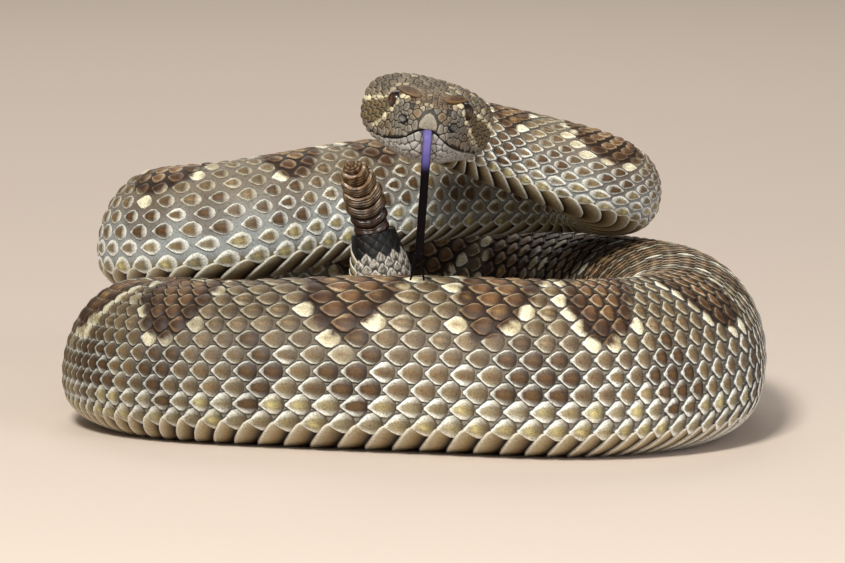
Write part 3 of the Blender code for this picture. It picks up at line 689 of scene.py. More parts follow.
def build_skin(material):
    """One tube from the nose to the rattle, with columns drawn in along the closed lips."""
    rows = np.r_[np.arange(-NOSE_ROUND + 0.02, 2, 0.14), np.arange(2, 14, 0.22),
                 np.arange(14, NECK_START, 0.5), np.arange(NECK_START, LENGTH - 1, 1.7),
                 LENGTH - 0.2]
    half, lip_column = 72, 42       # columns on one side, and the one that follows the lips
    step = np.linspace(0, 1, half + 1)
    knots = np.r_[0, (lip_column + np.arange(-2, 3)) / half, 1]
    around = np.empty((len(rows), 2 * half))
    for i, at in enumerate(rows):
        lip = np.interp(at, *LIP_TABLE.T)
        hold = fall(at, JAW_LENGTH - 1, JAW_LENGTH + 9)
        drawn = np.r_[0, lip + np.array([-0.022, -0.009, 0.0, 0.009, 0.022]), 1]
        share = hold * np.interp(step, knots, drawn) + (1 - hold) * step
        around[i] = np.r_[share[:-1], -share[:0:-1]]
    along = np.repeat(rows[:, None], 2 * half, 1)
    sunk = np.where(along < HEAD_END, 0.5, COAT_DEPTH * radius_at(along) + SHELL)
    places, normal = on_surface(along, around, -sunk)
    head = along < NECK_START
    off_lip = (np.abs(around) - np.interp(along, *LIP_TABLE.T)) * np.interp(along, ALONG, HALF_ARC)
    groove = bell(off_lip, 0.22) * fall(along, JAW_LENGTH - 4, JAW_LENGTH)
    dents = head_dents(places + sunk[..., None] * normal) * head
    places = places - normal * (dents + 0.9 * groove)[..., None]
    places[..., 2] = np.maximum(places[..., 2], 0.12)
    gap = pit_gap(places)
    # round each pit the skin is grey on its floor and black on its sunken wall and round its rim:
    # painted shade in the hollow
    pit = mix("6f6b68", "0b0807", rise(gap, 0.62 * PIT_RADIUS, 0.78 * PIT_RADIUS))
    # the groove along the closed lips is painted near black: painted shade in the slit between the
    # lips
    tone = layered(np.where(head[..., None], mix(head_paint(places), "1c140d", 0.8),
                            skin_paint(along, around)),
                   ("120a07", groove * 1.3 * head), (pit, (gap < 1.25 * PIT_RADIUS) * head))
    chart = np.stack([np.interp(along, (0, NECK_START, LENGTH), (0.01, 0.25, 0.99)),
                      0.01 + 0.98 * (around % 2 / 2)], -1)
    columns = 2 * half
    ring, last, count = np.arange(columns), (len(rows) - 1) * columns, along.size
    nose = np.stack([np.full(columns, count), np.roll(ring, -1), ring], 1)
    tip = np.stack([np.full(columns, count + 1), last + ring, last + np.roll(ring, -1)], 1)
    return make_piece("skin", material,
                      np.vstack([places.reshape(-1, 3), places[0].mean(0), places[-1].mean(0)]),
                      [grid_faces(len(rows), columns, wrap=True), nose, tip],
                      np.vstack([tone.reshape(-1, 3), tone[0, 0], tone[-1, -1]]),
                      np.vstack([chart.reshape(-1, 2), (0.005, 0.5), (0.995, 0.5)]))


# ---------------------------------------------------------------- body scales
def count_table():
    """How many scales lie before each distance, as the running sum of 1 / length."""
    at = np.arange(30.0, LENGTH + 12, 0.5)
    return at, np.cumsum(0.5 / monotone(SCALE_LENGTH, at))


COUNT_AT, COUNT = count_table()
P_STEPS = np.array([0.0, 0.13, 0.36, 0.6, 0.8, 0.93, 1.0, 1.0, 1.0])
Q_STEPS = np.array([-1.0, -1.0, -1.0, -0.8, -0.42, 0.0, 0.42, 0.8, 1.0, 1.0, 1.0])


def leaf_width(p):
    """Half width of a scale from base to tip: round base, broad shoulder, pointed tip."""
    back = np.clip((p - 0.42) / 0.58, 0, 1)
    front = np.clip((0.42 - p) / 0.42, 0, 1)
    return np.maximum(1 - back ** 1.65, 0.03) * np.maximum(1 - front ** 1.8, 0.08) ** 0.75


def row_place(row, rows, cell):
    """Around of a row's middle, from the middle row; the lowest rows sit a little lower."""
    return cell * row + LOWEST_DROP * np.sign(row) * (np.abs(row) >= rows // 2)


def scale_cells():
    """Row, column, running count, rows and cell of every scale: neighbours in a row are
    one count apart, and every other row is set half a scale on."""
    cells = []
    for start, stop, rows, cell in ROW_SETS:
        first, last = np.interp((start, stop), COUNT_AT, COUNT)
        half = rows // 2
        row, column = np.meshgrid(np.arange(-half, half + 1), np.arange(int(first), int(last) + 1))
        count = column + 0.5 * (row % 2)
        keep = (count >= first) & (count < last)
        cells.append(np.stack([row[keep], column[keep], count[keep],
                               np.full(keep.sum(), rows), np.full(keep.sum(), cell)], 1))
    return np.vstack(cells)


def build_scales(material):
    """Every scale is one leaf patch: its length follows the count, its width the rows;
    it rises from the skin at its base to a free tip, domed, with a low keel."""
    cells = scale_cells()
    cells = cells[np.argsort(cells[:, 1], kind="stable")]
    p, q = np.meshgrid(P_STEPS, Q_STEPS, indexing="ij")
    # two rings round the scale's rim: 1 just under it, 2 where the wall ends in the skin
    wall = np.zeros(p.shape)
    wall[-2:] = wall[:, :2] = wall[:, -2:] = 1
    wall[-1] = wall[:, 0] = wall[:, -1] = 2
    limits = np.quantile(cells[:, 1], np.linspace(0, 1, COAT_PARTS + 1))
    limits[-1] += 1
    pieces = []
    for k in range(COAT_PARTS):
        part = cells[(cells[:, 1] >= limits[k]) & (cells[:, 1] < limits[k + 1])]
        row, column, count, rows, cell = part.T[:, :, None, None]
        at = np.interp(count, COUNT, COUNT_AT)
        key, place = row * 7.0 + column * 131.0, row_place(row, rows, cell)
        low, loose = np.abs(place) / (cell * rows / 2), looseness(at)
        back = monotone(ROLL, at) + place
        grow = monotone(SCALE_FILL, at) * (0.96 + 0.08 * hashed(key, 5.0))
        reach = SCALE_REACH * grow * (1 + 0.13 * rise(low, 0.7, 0.95))
        wide = SCALE_WIDE / 2 * grow * (1 + 0.12 * rise(low, 0.66, 0.8)
                                        + 0.26 * rise(low, 0.88, 0.96))
        lean = 0.12 * rise(low, 0.8, 0.95) * np.sign(row) * (p - 0.45)
        along = np.interp(count + (p - 0.5) * reach, COUNT, COUNT_AT)
        around = back + (q * leaf_width(p) * wide + lean) * cell
        keel = bell(q, 0.2) * rise(p, 0.1, 0.4) * fall(low, 0.8, 0.95) * (1 - p ** 4)
        lift = (SCALE_BASE + SCALE_SLOPE * rise(p, 0, 0.45) + SCALE_TILT * p + SCALE_KEEL * keel
                + SCALE_DOME * (1 - q ** 2) * rise(p, 0, 0.3) * (1 - 0.8 * p ** 4))
        lift = np.where(wall == 2, np.where(p < 0.3, BASE_FOOT, TIP_FOOT),
                        lift - SCALE_RIM * (wall == 1))
        lift = lift * COAT_DEPTH * radius_at(at) - SHELL
        # the wall under the free edge slopes out, so that its painted shadow shows as a dark line
        # round the scale's tip
        flare = wall / 2 * SHADOW_SKIRT * (1 - 0.6 * loose) * rise(p, 0.2, 0.5)
        along = along + flare * (p == 1) * (1 - 0.3 * np.abs(q))
        around = around + flare * np.sign(q) * (np.abs(q) == 1) / np.interp(at, ALONG, HALF_ARC)
        places, _ = on_surface(along, around, lift)
        places[..., 2] = np.maximum(places[..., 2], 0.05)
        # the wall rings are painted near black: painted shadow under the scale's free edge,
        # lighter where the skin is stretched
        tone = mix(scale_paint(at, back, along, around, p, q, key, low), "120b06",
                   (wall > 0) * (0.92 - 0.4 * loose))
        first, last = part[:, 1].min(), part[:, 1].max() + 1
        chart = np.stack([(column - first + 0.08 + 0.84 * p) / (last - first),
                          (row + CHART_ROWS / 2 + 0.08 + 0.42 * (q + 1)) / CHART_ROWS], -1)
        pieces.append(make_piece(f"scales_{k + 1}", material, places,
                                 [repeated(grid_faces(*p.shape), len(part), p.size)], tone, chart))
    return pieces


def build_belly(material):
    """Belly plates: one per scale of a row, each a band across with a free rear edge,
    swept back towards the belly's middle."""
    first, last = np.interp(BELLY_REACH, COUNT_AT, COUNT)
    count = np.arange(math.ceil(first), int(last))[:, None, None] + 0.0
    p, t = np.meshgrid((0.0, 0.3, 0.6, 0.85, 0.97, 1.0), np.r_[-1.0, np.linspace(-1, 1, 27), 1.0],
                       indexing="ij")
    wall = np.zeros(p.shape, bool)
    wall[-1] = wall[:, 0] = wall[:, -1] = True
    at = np.interp(count, COUNT, COUNT_AT)
    starts = np.array([s[0] for s in ROW_SETS] + [LENGTH])
    edge = np.interp(at, (starts[:-1] + starts[1:]) / 2,
                     [rows / 2 * cell for _, _, rows, cell in ROW_SETS]) + LOWEST_DROP
    around = 1 + monotone(ROLL, at) + t * (1 - edge + 0.022)
    sweep = 1.15 * (1 - np.abs(t) ** 1.6)
    narrow = 1 - 0.3 * rise(np.abs(t), 0.9, 1.0)
    along = np.interp(count + sweep + (p - 0.5) * 1.3 * narrow, COUNT, COUNT_AT)
    shell = SHELL * rise(on_surface(along, around)[0][..., 2], 0.0, 1.2)
    lift = COAT_DEPTH * radius_at(at) * np.where(wall, -1.3, 1.2 * p - 1.2) - shell
    places, _ = on_surface(along, around, lift)
    places[..., 2] = np.maximum(places[..., 2], 0.0)
    horn = mix("775c35", "9a8254", hashed(count))
    # each plate is painted dark at its base, painted shade where it goes under the plate before,
    # and near black on its wall, painted shadow under its free rear edge
    tone = layered(mix("1a110a", horn, rise(p, 0.3, 0.6)), ("c6bfa6", rise(p, 0.5, 0.82) * 0.85),
                   ("eeeadb", rise(p, 0.86, 0.97)), ("231a12", wall * 0.8),
                   ("15120e", rise(at, 785.5, 787.5)))
    n = len(count)
    chart = np.stack([(np.arange(n)[:, None, None] + 0.08 + 0.84 * p) / n,
                      0.5 + 0.49 * t + np.zeros((n, 1, 1))], -1)
    return make_piece("belly_plates", material, places,
                      [repeated(grid_faces(*p.shape), n, p.size)], tone, chart)


# ---------------------------------------------------------------- head plates
def head_level(points):
    """The head as a level surface: 1 on its outside, from the section at each distance."""
    behind, out, above = head_frame(points)
    wide, top, under, crown = head_sizes(behind)
    square = np.where(above >= 0, crown, JAW_SQUARENESS)
    tall = np.where(above >= 0, top, under)
    brow = brow_swell(behind, np.arctan2(np.abs(out) / wide, above / tall))
    out, above = np.maximum(np.abs(out) - brow, 0), above - 0.6 * brow
    level = ((out / wide) ** square + (np.abs(above) / tall) ** square) ** (1 / square)
    # past the nose the section keeps shrinking, so that the surface closes
    return level * (1 + 0.9 * np.maximum(-NOSE_ROUND - behind, 0))


def settle(points, rounds=5, eps=0.05):
    """Move places onto the head's surface by Newton steps along the level's slope."""
    for _ in range(rounds):
        slope = np.stack([(head_level(points + eps * axis) - head_level(points - eps * axis))
                          / (2 * eps) for axis in np.eye(3)], -1)
        square = np.maximum((slope ** 2).sum(-1), 1e-6)
        move = ((1 - head_level(points)) / square)[..., None] * slope
        points = points + unit(move) * np.minimum(np.linalg.norm(move, axis=-1), 1)[..., None]
    return points, slope / np.sqrt(square)[..., None]


# behind, out, above, weight and kind of the named plates on the left half of the head
HEAD_PLATES = (
    (0.85, 3.0, 3.4, 0.9, "nasal"), (0.45, 3.2, 0.5, 0.6, "labial"),
    (2.6, 4.5, 4.6, 0.35, "nostril"), (4.0, 5.6, 3.8, 1.0, "plate"),
    (6.5, 6.8, 4.3, 0.6, "plate"), (7.3, 7.7, 2.2, 0.6, "plate"),
    (2.9, 5.6, 1.0, 1.0, "pit"), (4.7, 6.5, 1.0, 1.0, "pit"),
    (8.0, 6.5, 5.6, 0.6, "cream"), (11.3, 9.2, 4.1, 1.25, "eye"),
    (6.2, 3.6, 6.7, 0.9, "guard"), (8.6, 4.7, 7.0, 1.5, "guard"), (11.2, 5.7, 7.1, 1.7, "guard"),
    (13.8, 6.5, 7.2, 1.6, "guard"), (16.2, 7.2, 7.2, 1.1, "guard"),
    (1.9, 5.0, -0.85, 0.4, "labial"), (4.1, 6.3, -1.7, 0.5, "labial"),
    (7.2, 7.8, -2.6, 0.6, "labial"), (10.6, 9.1, -3.4, 0.6, "labial"),
    (13.8, 10.4, -4.2, 0.5, "labial"), (17.0, 12.0, -4.8, 0.5, "labial"),
    (6.0, 7.3, -0.8, 0.3, "plate"), (9.0, 8.6, 0.2, 0.3, "plate"),
    (10.4, 9.2, -1.6, 0.3, "plate"), (8.0, 8.3, -1.0, 0.2, "plate"),
    (13.2, 10.5, -2.4, 0.3, "plate"),
    (0.3, 1.9, -1.9, 0.5, "lower"), (0.8, 3.5, -2.5, 0.5, "lower"),
    (2.4, 5.1, -3.6, 0.6, "lower"), (5.0, 6.3, -4.3, 0.6, "lower"),
    (8.0, 7.6, -5.0, 0.6, "lower"), (11.2, 8.7, -5.6, 0.6, "lower"),
    (14.6, 9.9, -6.1, 0.6, "lower"), (18.0, 11.2, -6.4, 0.5, "lower"),
    (2.6, 2.0, -6.4, 0.9, "chin"), (7.5, 2.4, -8.4, 1.2, "chin"), (12.5, 2.4, -8.8, 1.0, "chin"),
)
# how far a ring of plates stands from the eye's or the pit's middle, its weight, its step
EYE_RING, PIT_RING = (2.1, 0.2, 36.0), (1.85, 0.1, 36.0)
# above and out of the rostral plate's corners, left half: a blunt bishop's hat
ROSTRAL_CORNERS = ((0.1, 0.0), (-0.2, 1.2), (-0.3, 2.35), (1.5, 2.3), (3.0, 1.45), (4.3, 0.5))


def head_seeds():
    """Middles of the head's plates with a weight and a kind for each: named plates
    first, then small scales on a staggered lattice wherever there is room."""
    left = [(head_place(*row[:3]), row[3], row[4]) for row in HEAD_PLATES]
    eye = (EYE_AT[0] + 0.3, EYE_AT[1] + 1.6, EYE_AT[2] + 0.2)
    for place, (reach, weight, step), skip in ((eye, EYE_RING, (45, 135)),
                                               (PIT_AT, PIT_RING, (0, 0))):
        middle, normal = settle(head_place(*place)[None], 6)
        upright = unit(UP[0] - normal[0] * (UP[0] @ normal[0]))
        rearward = np.cross(upright, normal[0])
        for turn in np.arange(step / 2, 360, step):
            if not skip[0] < turn < skip[1]:
                angle = math.radians(turn)
                slant = rearward * math.cos(angle) + upright * math.sin(angle)
                left.append((middle[0] + reach * slant, weight, "ring"))
    seeds = list(left)
    for place, weight, kind in left:
        behind, out, above = head_frame(place)
        seeds.append((head_place(behind, -out, above), weight, kind))
    seeds += [(head_place(behind, 0.0, above), weight, kind) for behind, above, weight, kind in (
        (-0.4, 1.0, 2.3, "rostral"), (-0.2, 2.6, 1.6, "guard"), (0.2, 3.8, 0.75, "guard"),
        (0.2, -1.9, 0.7, "lower"))]
    named = settle(np.array([place for place, _, _ in seeds]))[0]
    room = np.array([weight for _, weight, _ in seeds])
    row, small, odd = 1.0, [], 0
    while row < NECK_START + 1:
        size = np.interp(row, (0, 7, 14, 25, 47), (1.15, 1.35, 1.7, 2.0, 2.5))
        arc = float(np.interp(row, ALONG, HALF_ARC))
        count = max(4, int(2 * arc / size))
        number = np.arange(count)
        around = (number + 0.5 * odd) / count * 2 - 1
        shake = 0.3 * size * (hashed(number, row) - 0.5)
        sway = 0.24 * size * (hashed(number, row, 5.0) - 0.5)
        small.append(np.stack([row + shake, around + sway / arc, np.full(count, size)], 1))
        row += size * np.interp(row, (0, 10, 25), (0.85, 1.05, 1.25))
        odd = 1 - odd
    small = np.vstack(small)
    places, _ = on_surface(small[:, 0], small[:, 1])
    gap = np.linalg.norm(places[:, None] - named[None], axis=2)
    clear = (gap > (room[None] + 0.55 * small[:, 2:3])).all(1)
    kinds = [kind for _, _, kind in seeds] + ["small"] * clear.sum()
    return (settle(np.vstack([named, places[clear]]))[0], np.r_[room, 0.12 * small[clear, 2]],
            np.array(kinds))


def head_tones(points, kind, chance):
    """Colour of whole plates: the place's marking, moved by the kind and by chance."""
    above = head_frame(points)[2]
    crown = (kind == "small") & (above > 4.6)
    cheek = (kind == "small") & (above < 4.6) & (above > -3)
    dark = 0.75 * (crown & (chance < 0.32)) + 0.45 * (cheek & (chance < 0.2))
    tone = layered(head_paint(points), ("b9ab8c", 0.75 * (crown & (chance > 0.84))),
                   ("34271a", dark), ("878171", kind == "rostral"), ("79664e", kind == "nasal"),
                   ("e8dfb9", kind == "cream"))
    return tone * (0.82 + 0.3 * chance)[:, None]


def keep_clear(points, seeds):
    """Plates above the closed mouth stop short of its line, and so do those below it;
    those round a pit are pushed out to its rim, sideways and as far back as it takes."""
    behind, out, above = head_frame(points)
    seed_behind, seed_out, seed_above = head_frame(seeds)
    line = mouth_height(out)
    half = np.interp(behind, (0, 2, 5, 11, 18, 26), (0.1, 0.16, 0.24, 0.24, 0.1, 0.02))
    lips = (np.abs(seed_above - mouth_height(seed_out)) < 3.5) & (seed_behind < JAW_LENGTH - 3)
    upper = seed_above > mouth_height(seed_out)
    above = np.where(lips & upper, np.maximum(above, line + half), above)
    above = np.where(lips & ~upper, np.minimum(above, line - half), above)
    gap = np.maximum(pit_gap(head_place(behind, out, above)), 0.05)
    push = np.maximum(PIT_RADIUS - gap, 0) / gap
    over = push * (np.abs(out) - PIT_AT[1])
    return head_place(behind + 2 * over, out + np.sign(out) * over,
                      above + push * (above - PIT_AT[2]))


def build_head_plates(material):
    """Each plate reaches to the border halfway to its neighbours, found in the plane that
    touches the head at its middle; then its rings are laid on the head and domed."""
    seeds, weight, kind = head_seeds()
    _, normal = settle(seeds, 1)
    ahead = along_rows(AHEAD, head_frame(seeds)[0])
    tail = ahead - normal * (ahead * normal).sum(1)[:, None]
    weak = np.linalg.norm(tail, axis=1) < 0.3
    tail[weak] = UP[0] - normal[weak] * (normal[weak] @ UP[0])[:, None]
    tail = unit(tail)
    left = np.cross(tail, normal)
    turns, theta = 16, circle(16)
    # distance to every neighbour, flattened into the plane without growing shorter
    away = seeds[None] - seeds[:, None]
    flat = np.stack([(away * tail[:, None]).sum(2), (away * left[:, None]).sum(2)], -1)
    full = np.linalg.norm(away, axis=2)
    flat *= (full / np.maximum(np.linalg.norm(flat, axis=2), 1e-6))[..., None]
    toward = flat @ np.stack([np.cos(theta), np.sin(theta)])
    balance = (full ** 2 + weight[:, None] ** 2 - weight[None] ** 2) / 2
    reach = balance[..., None] / np.maximum(toward, 1e-3)
    ignore = (toward < 0.1) | (full > 9)[..., None] | (full < 1e-6)[..., None]
    reach = np.where(ignore, 1e3, np.maximum(reach, 0.15))
    reach = (reach ** -14.0).sum(1) ** (-1 / 14.0)
    size = np.median(reach, axis=1)
    reach = np.minimum(reach, 1.9 * size[:, None]) - 0.085
    corners = np.array(ROSTRAL_CORNERS)
    corners = np.vstack([corners, corners[::-1] * (1, -1)]) - (1.0, 0.0)
    angle = np.arctan2(corners[:, 1], corners[:, 0]) % (2 * np.pi)
    order = np.argsort(angle)
    reach[kind == "rostral"] = np.interp(theta, angle[order], np.hypot(*corners.T)[order],
                                         period=2 * np.pi)
    solid = ~np.isin(kind, ("eye", "pit", "nostril", "guard"))
    seeds, tail, left, kind, reach, size = (
        table[solid] for table in (seeds, tail, left, kind, reach, size))
    # rings from the crest to the wall's foot, domed and a little tilted up to the rear
    rings = np.array([0.45, 0.82, 1.0, 1.0])
    smooth = np.isin(kind, ("rostral", "labial", "lower", "chin", "nasal", "plate", "cream"))
    high = np.where(smooth, 0.16, 0.24) * np.clip(size, 0.6, 1.2)
    keel = np.where(smooth, 0.0, 0.06)
    u = rings[:, None] * np.cos(theta) * reach[:, None]
    w = rings[:, None] * np.sin(theta) * reach[:, None]
    places = (seeds[:, None, None] + u[..., None] * tail[:, None, None]
              + w[..., None] * left[:, None, None])
    lift = (high[:, None, None] * (1 - rings[:, None] ** 2.5)
            + keel[:, None, None] * bell(w, 0.25) * (1 - rings[:, None])
            + np.where(smooth, 0.02, 0.09)[:, None, None] * u / size[:, None, None])
    lift[:, -1] = -0.35
    laid, out = settle(keep_clear(places, seeds[:, None, None]).reshape(-1, 3))
    laid = laid + out * (lift.reshape(-1, 1) - HEAD_SHELL)
    crest, out = settle(seeds)
    crest = crest + out * (high + keel - HEAD_SHELL)[:, None]
    n, per = len(seeds), 1 + len(rings) * turns
    every = np.concatenate([crest[:, None], laid.reshape(n, -1, 3)], 1)
    ring = np.arange(turns)
    fan = np.stack([np.zeros(turns, int), 1 + np.roll(ring, -1), 1 + ring], 1)
    band = 1 + grid_faces(len(rings), turns, wrap=True)
    # a plate is mostly of one colour, paler towards its rim, with a dark line round it
    chance = hashed(np.arange(n) + 0.0)
    _, out, above = head_frame(crest)
    plain = (kind == "small") & (above < 4.6)
    share = np.where(plain | (kind == "labial"), 0.3, 0.75)[:, None]
    border = np.r_[0, np.repeat([0.45, 0.84, 1.0, 1.1], turns)]
    line = np.where(above < mouth_height(out), 0.5, 0.95)[:, None]
    tone = layered(head_paint(every) * (0.85 + 0.25 * chance)[:, None, None],
                   (head_tones(crest, kind, chance)[:, None], share),
                   ("d8cfba", rise(border, 0.4, 0.84) * 0.2),
                   ("110b06", rise(border, 0.86, 1.0) * line))
    rank, grid = np.arange(n), math.ceil(math.sqrt(n))
    spot = np.stack([rank % grid + 0.5, rank // grid + 0.5], 1) / grid
    away, angle = np.r_[0, np.repeat([0.4, 0.7, 0.88, 1.0], turns)], np.r_[0, np.tile(theta, 4)]
    spread = np.stack([away * np.cos(angle), away * np.sin(angle)], 1)
    return make_piece("head_plates", material, every,
                      [repeated(fan, n, per), repeated(band, n, per)], tone,
                      spot[:, None] + 0.42 / grid * spread)


def build_brows(material):
    """The large shield over each eye: a long oval lens whose outer edge juts like a roof."""
    share, turn = np.meshgrid(np.linspace(0, 1, 9), circle(36), indexing="ij")
    parts = []
    for sign in (1, -1):
        behind = BROW_PLATE["behind"] + BROW_PLATE["half"] * share * np.cos(turn)
        wide = BROW_PLATE["width"] * (1 - 0.12 * np.cos(turn))
        out = sign * (np.interp(behind, *BROW_PLATE["middle"]) + share * wide * np.sin(turn))
        place, normal = settle(head_place(behind, out, BROW_PLATE["above"] + 0 * out), 8)
        fold = wander(behind + 0.5 * out, out * 0.02, 0.55)
        outer = np.clip(np.sin(turn), 0, 1) * rise(share, 0.4, 1.0)
        lift = 0.34 * (1 - share ** 3) + 0.22 * outer + 0.07 * fold * (1 - share)
        place = place + normal * (np.where(share == 1, -0.1, lift) - HEAD_SHELL)[..., None]
        tone = layered(mix("6e4a24", "2c1b0e", 0.5 + 0.5 * fold),
                       ("8c7148", bell(share - 0.72, 0.12) * 0.6),
                       ("150c05", rise(share, 0.82, 0.95)))
        chart = np.stack([0.5 + 0.24 * sign + 0.22 * share * np.cos(turn),
                          0.5 + 0.45 * share * np.sin(turn)], -1)
        quads = len(parts) * share.size + grid_faces(*share.shape, wrap=True)
        facing = np.cross(place[2, 1] - place[2, 0], place[3, 0] - place[2, 0]) @ normal[2, 0]
        parts.append((place, quads if facing > 0 else quads[:, ::-1], tone, chart))
    places, faces, tones, charts = zip(*parts)
    return make_piece("brow_shields", material, np.array(places), faces, np.array(tones),
                      np.array(charts))


# ---------------------------------------------------------------- eyes, tongue and rattle
def build_eye(sign, material):
    """A ball whose pole looks outwards and a little forwards, with an upright slit. It is open
    by a pinhole at both poles, which tube_faces would close."""
    centre = head_place(EYE_AT[0], sign * EYE_AT[1], EYE_AT[2] + 0.2)
    side, up = along_rows(SIDE, EYE_AT[0]) * sign, along_rows(UP, EYE_AT[0])
    look = unit(side - 0.55 * AHEAD[0] + 0.1 * up)
    polar, turn = np.radians(np.linspace(1, 179, 40))[:, None], circle(48)
    across, tall = np.sin(polar) * np.cos(turn), np.sin(polar) * np.sin(turn)
    places = loft(centre + EYE_RADIUS * np.cos(polar) * look, np.cross(up, look), up,
                  EYE_RADIUS * across, EYE_RADIUS * tall)
    away = np.hypot(across, tall)
    slit = (across / 0.11) ** 2 + (tall / 0.62) ** 2
    tone = layered(mix("3d281b", "170e09", rise(away, 0.4, 0.85)),
                   ("6f4f2e", fall(np.abs(away - 0.3), 0.05, 0.16) * 0.5),
                   ("050302", fall(slit, 0.7, 1.2)))
    return make_piece("eyeball_left" if sign > 0 else "eyeball_right", material, places,
                      [grid_faces(*away.shape, wrap=True)[:, ::-1]], tone)


def build_tongue(material):
    """A flat tube out over the lip in a quarter turn and down, ending in two tines. Its faces
    point inwards, because each group from tube_faces is turned over."""
    x, y, z = CENTRE[0]
    arc = np.radians(np.linspace(0, 90, 12))
    drop = np.linspace(3.2, TONGUE_DROP - FORK_LENGTH + 0.4, 40)
    stem = np.vstack([
        [(x, y + TONGUE_ROOT, z - 0.55), (x, y + 1.6, z - 0.55)],
        np.stack([x + 0 * arc, y - 0.4 - 2 * np.sin(arc), z - 0.55 - 2 * (1 - np.cos(arc))], 1),
        np.stack([x - 2.4 * (drop / TONGUE_DROP) ** 1.2, y - 2.4 + 0 * drop, z - drop], 1)])
    share = np.linspace(0, 1, len(stem))
    wide = TONGUE_WIDTH / 2 * (1 - TONGUE_WAIST * np.minimum(2 * share, 1))
    tubes = [(stem, wide + 0.15 * rise(share, 0.9, 1.0),
              TONGUE_THICK / 2 * (1 - TONGUE_WAIST * share))]
    down = np.linspace(-1.5, FORK_LENGTH, 18)
    part = np.clip(down / FORK_LENGTH, 0, 1)
    out = TINE_APART + (FORK_SPREAD - TINE_APART) * part ** 1.1
    half = np.linspace(TINE_RADIUS, TINE_TIP * 0.8, 18)
    for sign in (-1, 1):
        route = np.stack([sign * out - 0.06 * down, 0 * down, 0.4 - down], 1)
        tubes.append((stem[-1] + route, half, half))
    turn, places, faces, base = circle(16), [], [], 0
    for route, wide, thick in tubes:
        ahead = unit(np.gradient(route, axis=0))
        across = unit((1.0, 0.0, 0.0) - ahead * ahead[:, :1])
        places.append(loft(route, across, np.cross(across, ahead), wide[:, None] * np.cos(turn),
                           thick[:, None] * np.sin(turn)).reshape(-1, 3))
        faces += [base + group[:, ::-1] for group in tube_faces(len(route), len(turn))]
        base += len(places[-1])
    places = np.vstack(places)
    below, rim = z - places[:, 2], np.zeros(len(places))
    rim[:stem.shape[0] * len(turn)] = np.tile(np.abs(np.cos(turn)), len(stem))
    # the tongue's narrow sides are painted darker: painted shade where its rounded edges turn from
    # the light
    tone = layered(mix("6a629c", "534c86", rise(below, 3, 7)),
                   ("2b2440", rise(rim, 0.6, 1.0) * 0.85), ("050203", rise(below, 6.5, 9.5)))
    return make_piece("forked_tongue", material, places, faces, tone)


def rattle_route(count=61):
    """The rattle's middle line leans to one side and nods, in even steps."""
    share = np.linspace(0, 1, count)[:, None]
    lean = -0.18 * share * UP[-1] - (0.15 * share + 0.65 * share ** 2) * SIDE[-1]
    heading = unit(AHEAD[-1] + lean)
    steps = np.cumsum(heading * RATTLE_LENGTH / (count - 1), axis=0)
    return CENTRE[-1] + np.vstack([np.zeros(3), steps[:-1]]), heading


def build_rattle(material):
    """Horn rings: each is a loft of rounded sections, one broad lobe and a narrow one behind
    it, drawn in at both ends, with fine ridges and a shallow groove on its faces."""
    route, heading = rattle_route()
    whole = np.arange(len(route))
    lengths = np.array(RATTLE_WIDTHS) ** 0.5
    ends = np.r_[0, np.cumsum(lengths)] / lengths.sum()
    share, turn, pieces = np.linspace(0, 1, 34), circle(56), []
    wave = np.sin(2 * np.pi * RATTLE_RIDGES * share)
    x, z = superellipse(turn, RATTLE_FLATNESS, 1.0, 1.0, 2.5, 2.5)
    x = x * (1 - 0.1 * bell(z, 0.22))
    for k, width in enumerate(RATTLE_WIDTHS):
        broad = np.sin(np.pi * np.clip(share / (0.7 + 0.05 * (k % 3)), 0, 1)) ** 0.6
        narrow = np.sin(np.pi * np.clip((share - 0.6) / 0.4, 0, 1))
        swell = 0.88 + 0.12 * broad + 0.05 * narrow
        swell *= np.minimum(1, 0.78 + 0.22 * (share / 0.05) ** 0.5)
        swell *= np.minimum(1, 0.72 + 0.28 * ((1 - share) / 0.08) ** 0.5)
        if k == len(RATTLE_WIDTHS) - 1:
            swell *= 1 - 0.8 * rise(share, 0.3, 1.0)
        half = width / 2 * (swell + 0.012 * wave * (k > 1))[:, None]
        run = np.linspace(ends[k] - 0.01, ends[k + 1] - 0.004, len(share))
        middle = read_rows(run * whole[-1], whole, route)
        ahead = unit(read_rows(run * whole[-1], whole, heading))
        thick = unit(SIDE[-1] - ahead * (ahead @ SIDE[-1])[:, None])
        places = loft(middle, thick, np.cross(ahead, thick), half * x, half * z)
        # both ends are dished, deepest down the middle of the broad faces
        sink = np.interp(run, (0, 0.35, 0.75, 1), (1.3, 2.3, 2.1, 0.6))[:, None] * (1 - z ** 2)
        places = places - sink[..., None] * ahead[:, None]
        streak = 0.5 + 0.5 * np.sin(9 * turn + 3.1 * k + 4 * share[:, None])
        high, late, ridge = run[:, None], share[:, None], 0.5 + 0.5 * wave[:, None]
        worn, lip = rise(high, 0.3, 0.5), rise(late, 0.84, 0.95) * fall(late, 0.97, 1.0)
        # each ring is darkest at its start, painted shade in the groove where it sits inside the
        # ring before
        tone = layered(mix("331a0a", "46321d", rise(high, 0.2, 0.42)),
                       ("66401f", rise(high, 0.6, 0.8) * (0.3 + 0.7 * streak)),
                       ("83663f", rise(np.abs(z), 0.3, 0.9) * worn * 0.5),
                       ("c0a684", ridge ** 4 * worn * 0.75 * streak),
                       ("1d0f06", (1 - ridge) ** 4 * worn * 0.7),
                       ("c09c74", lip * (0.15 + 0.35 * rise(high, 0.3, 0.6))),
                       ("120803", fall(late, 0.05, 0.3)))
        pieces.append(make_piece(f"horn_ring_{k + 1}", material, places,
                                 tube_faces(len(share), len(turn)),
                                 tone * (0.62 + 0.25 * streak)[..., None]))
    return pieces


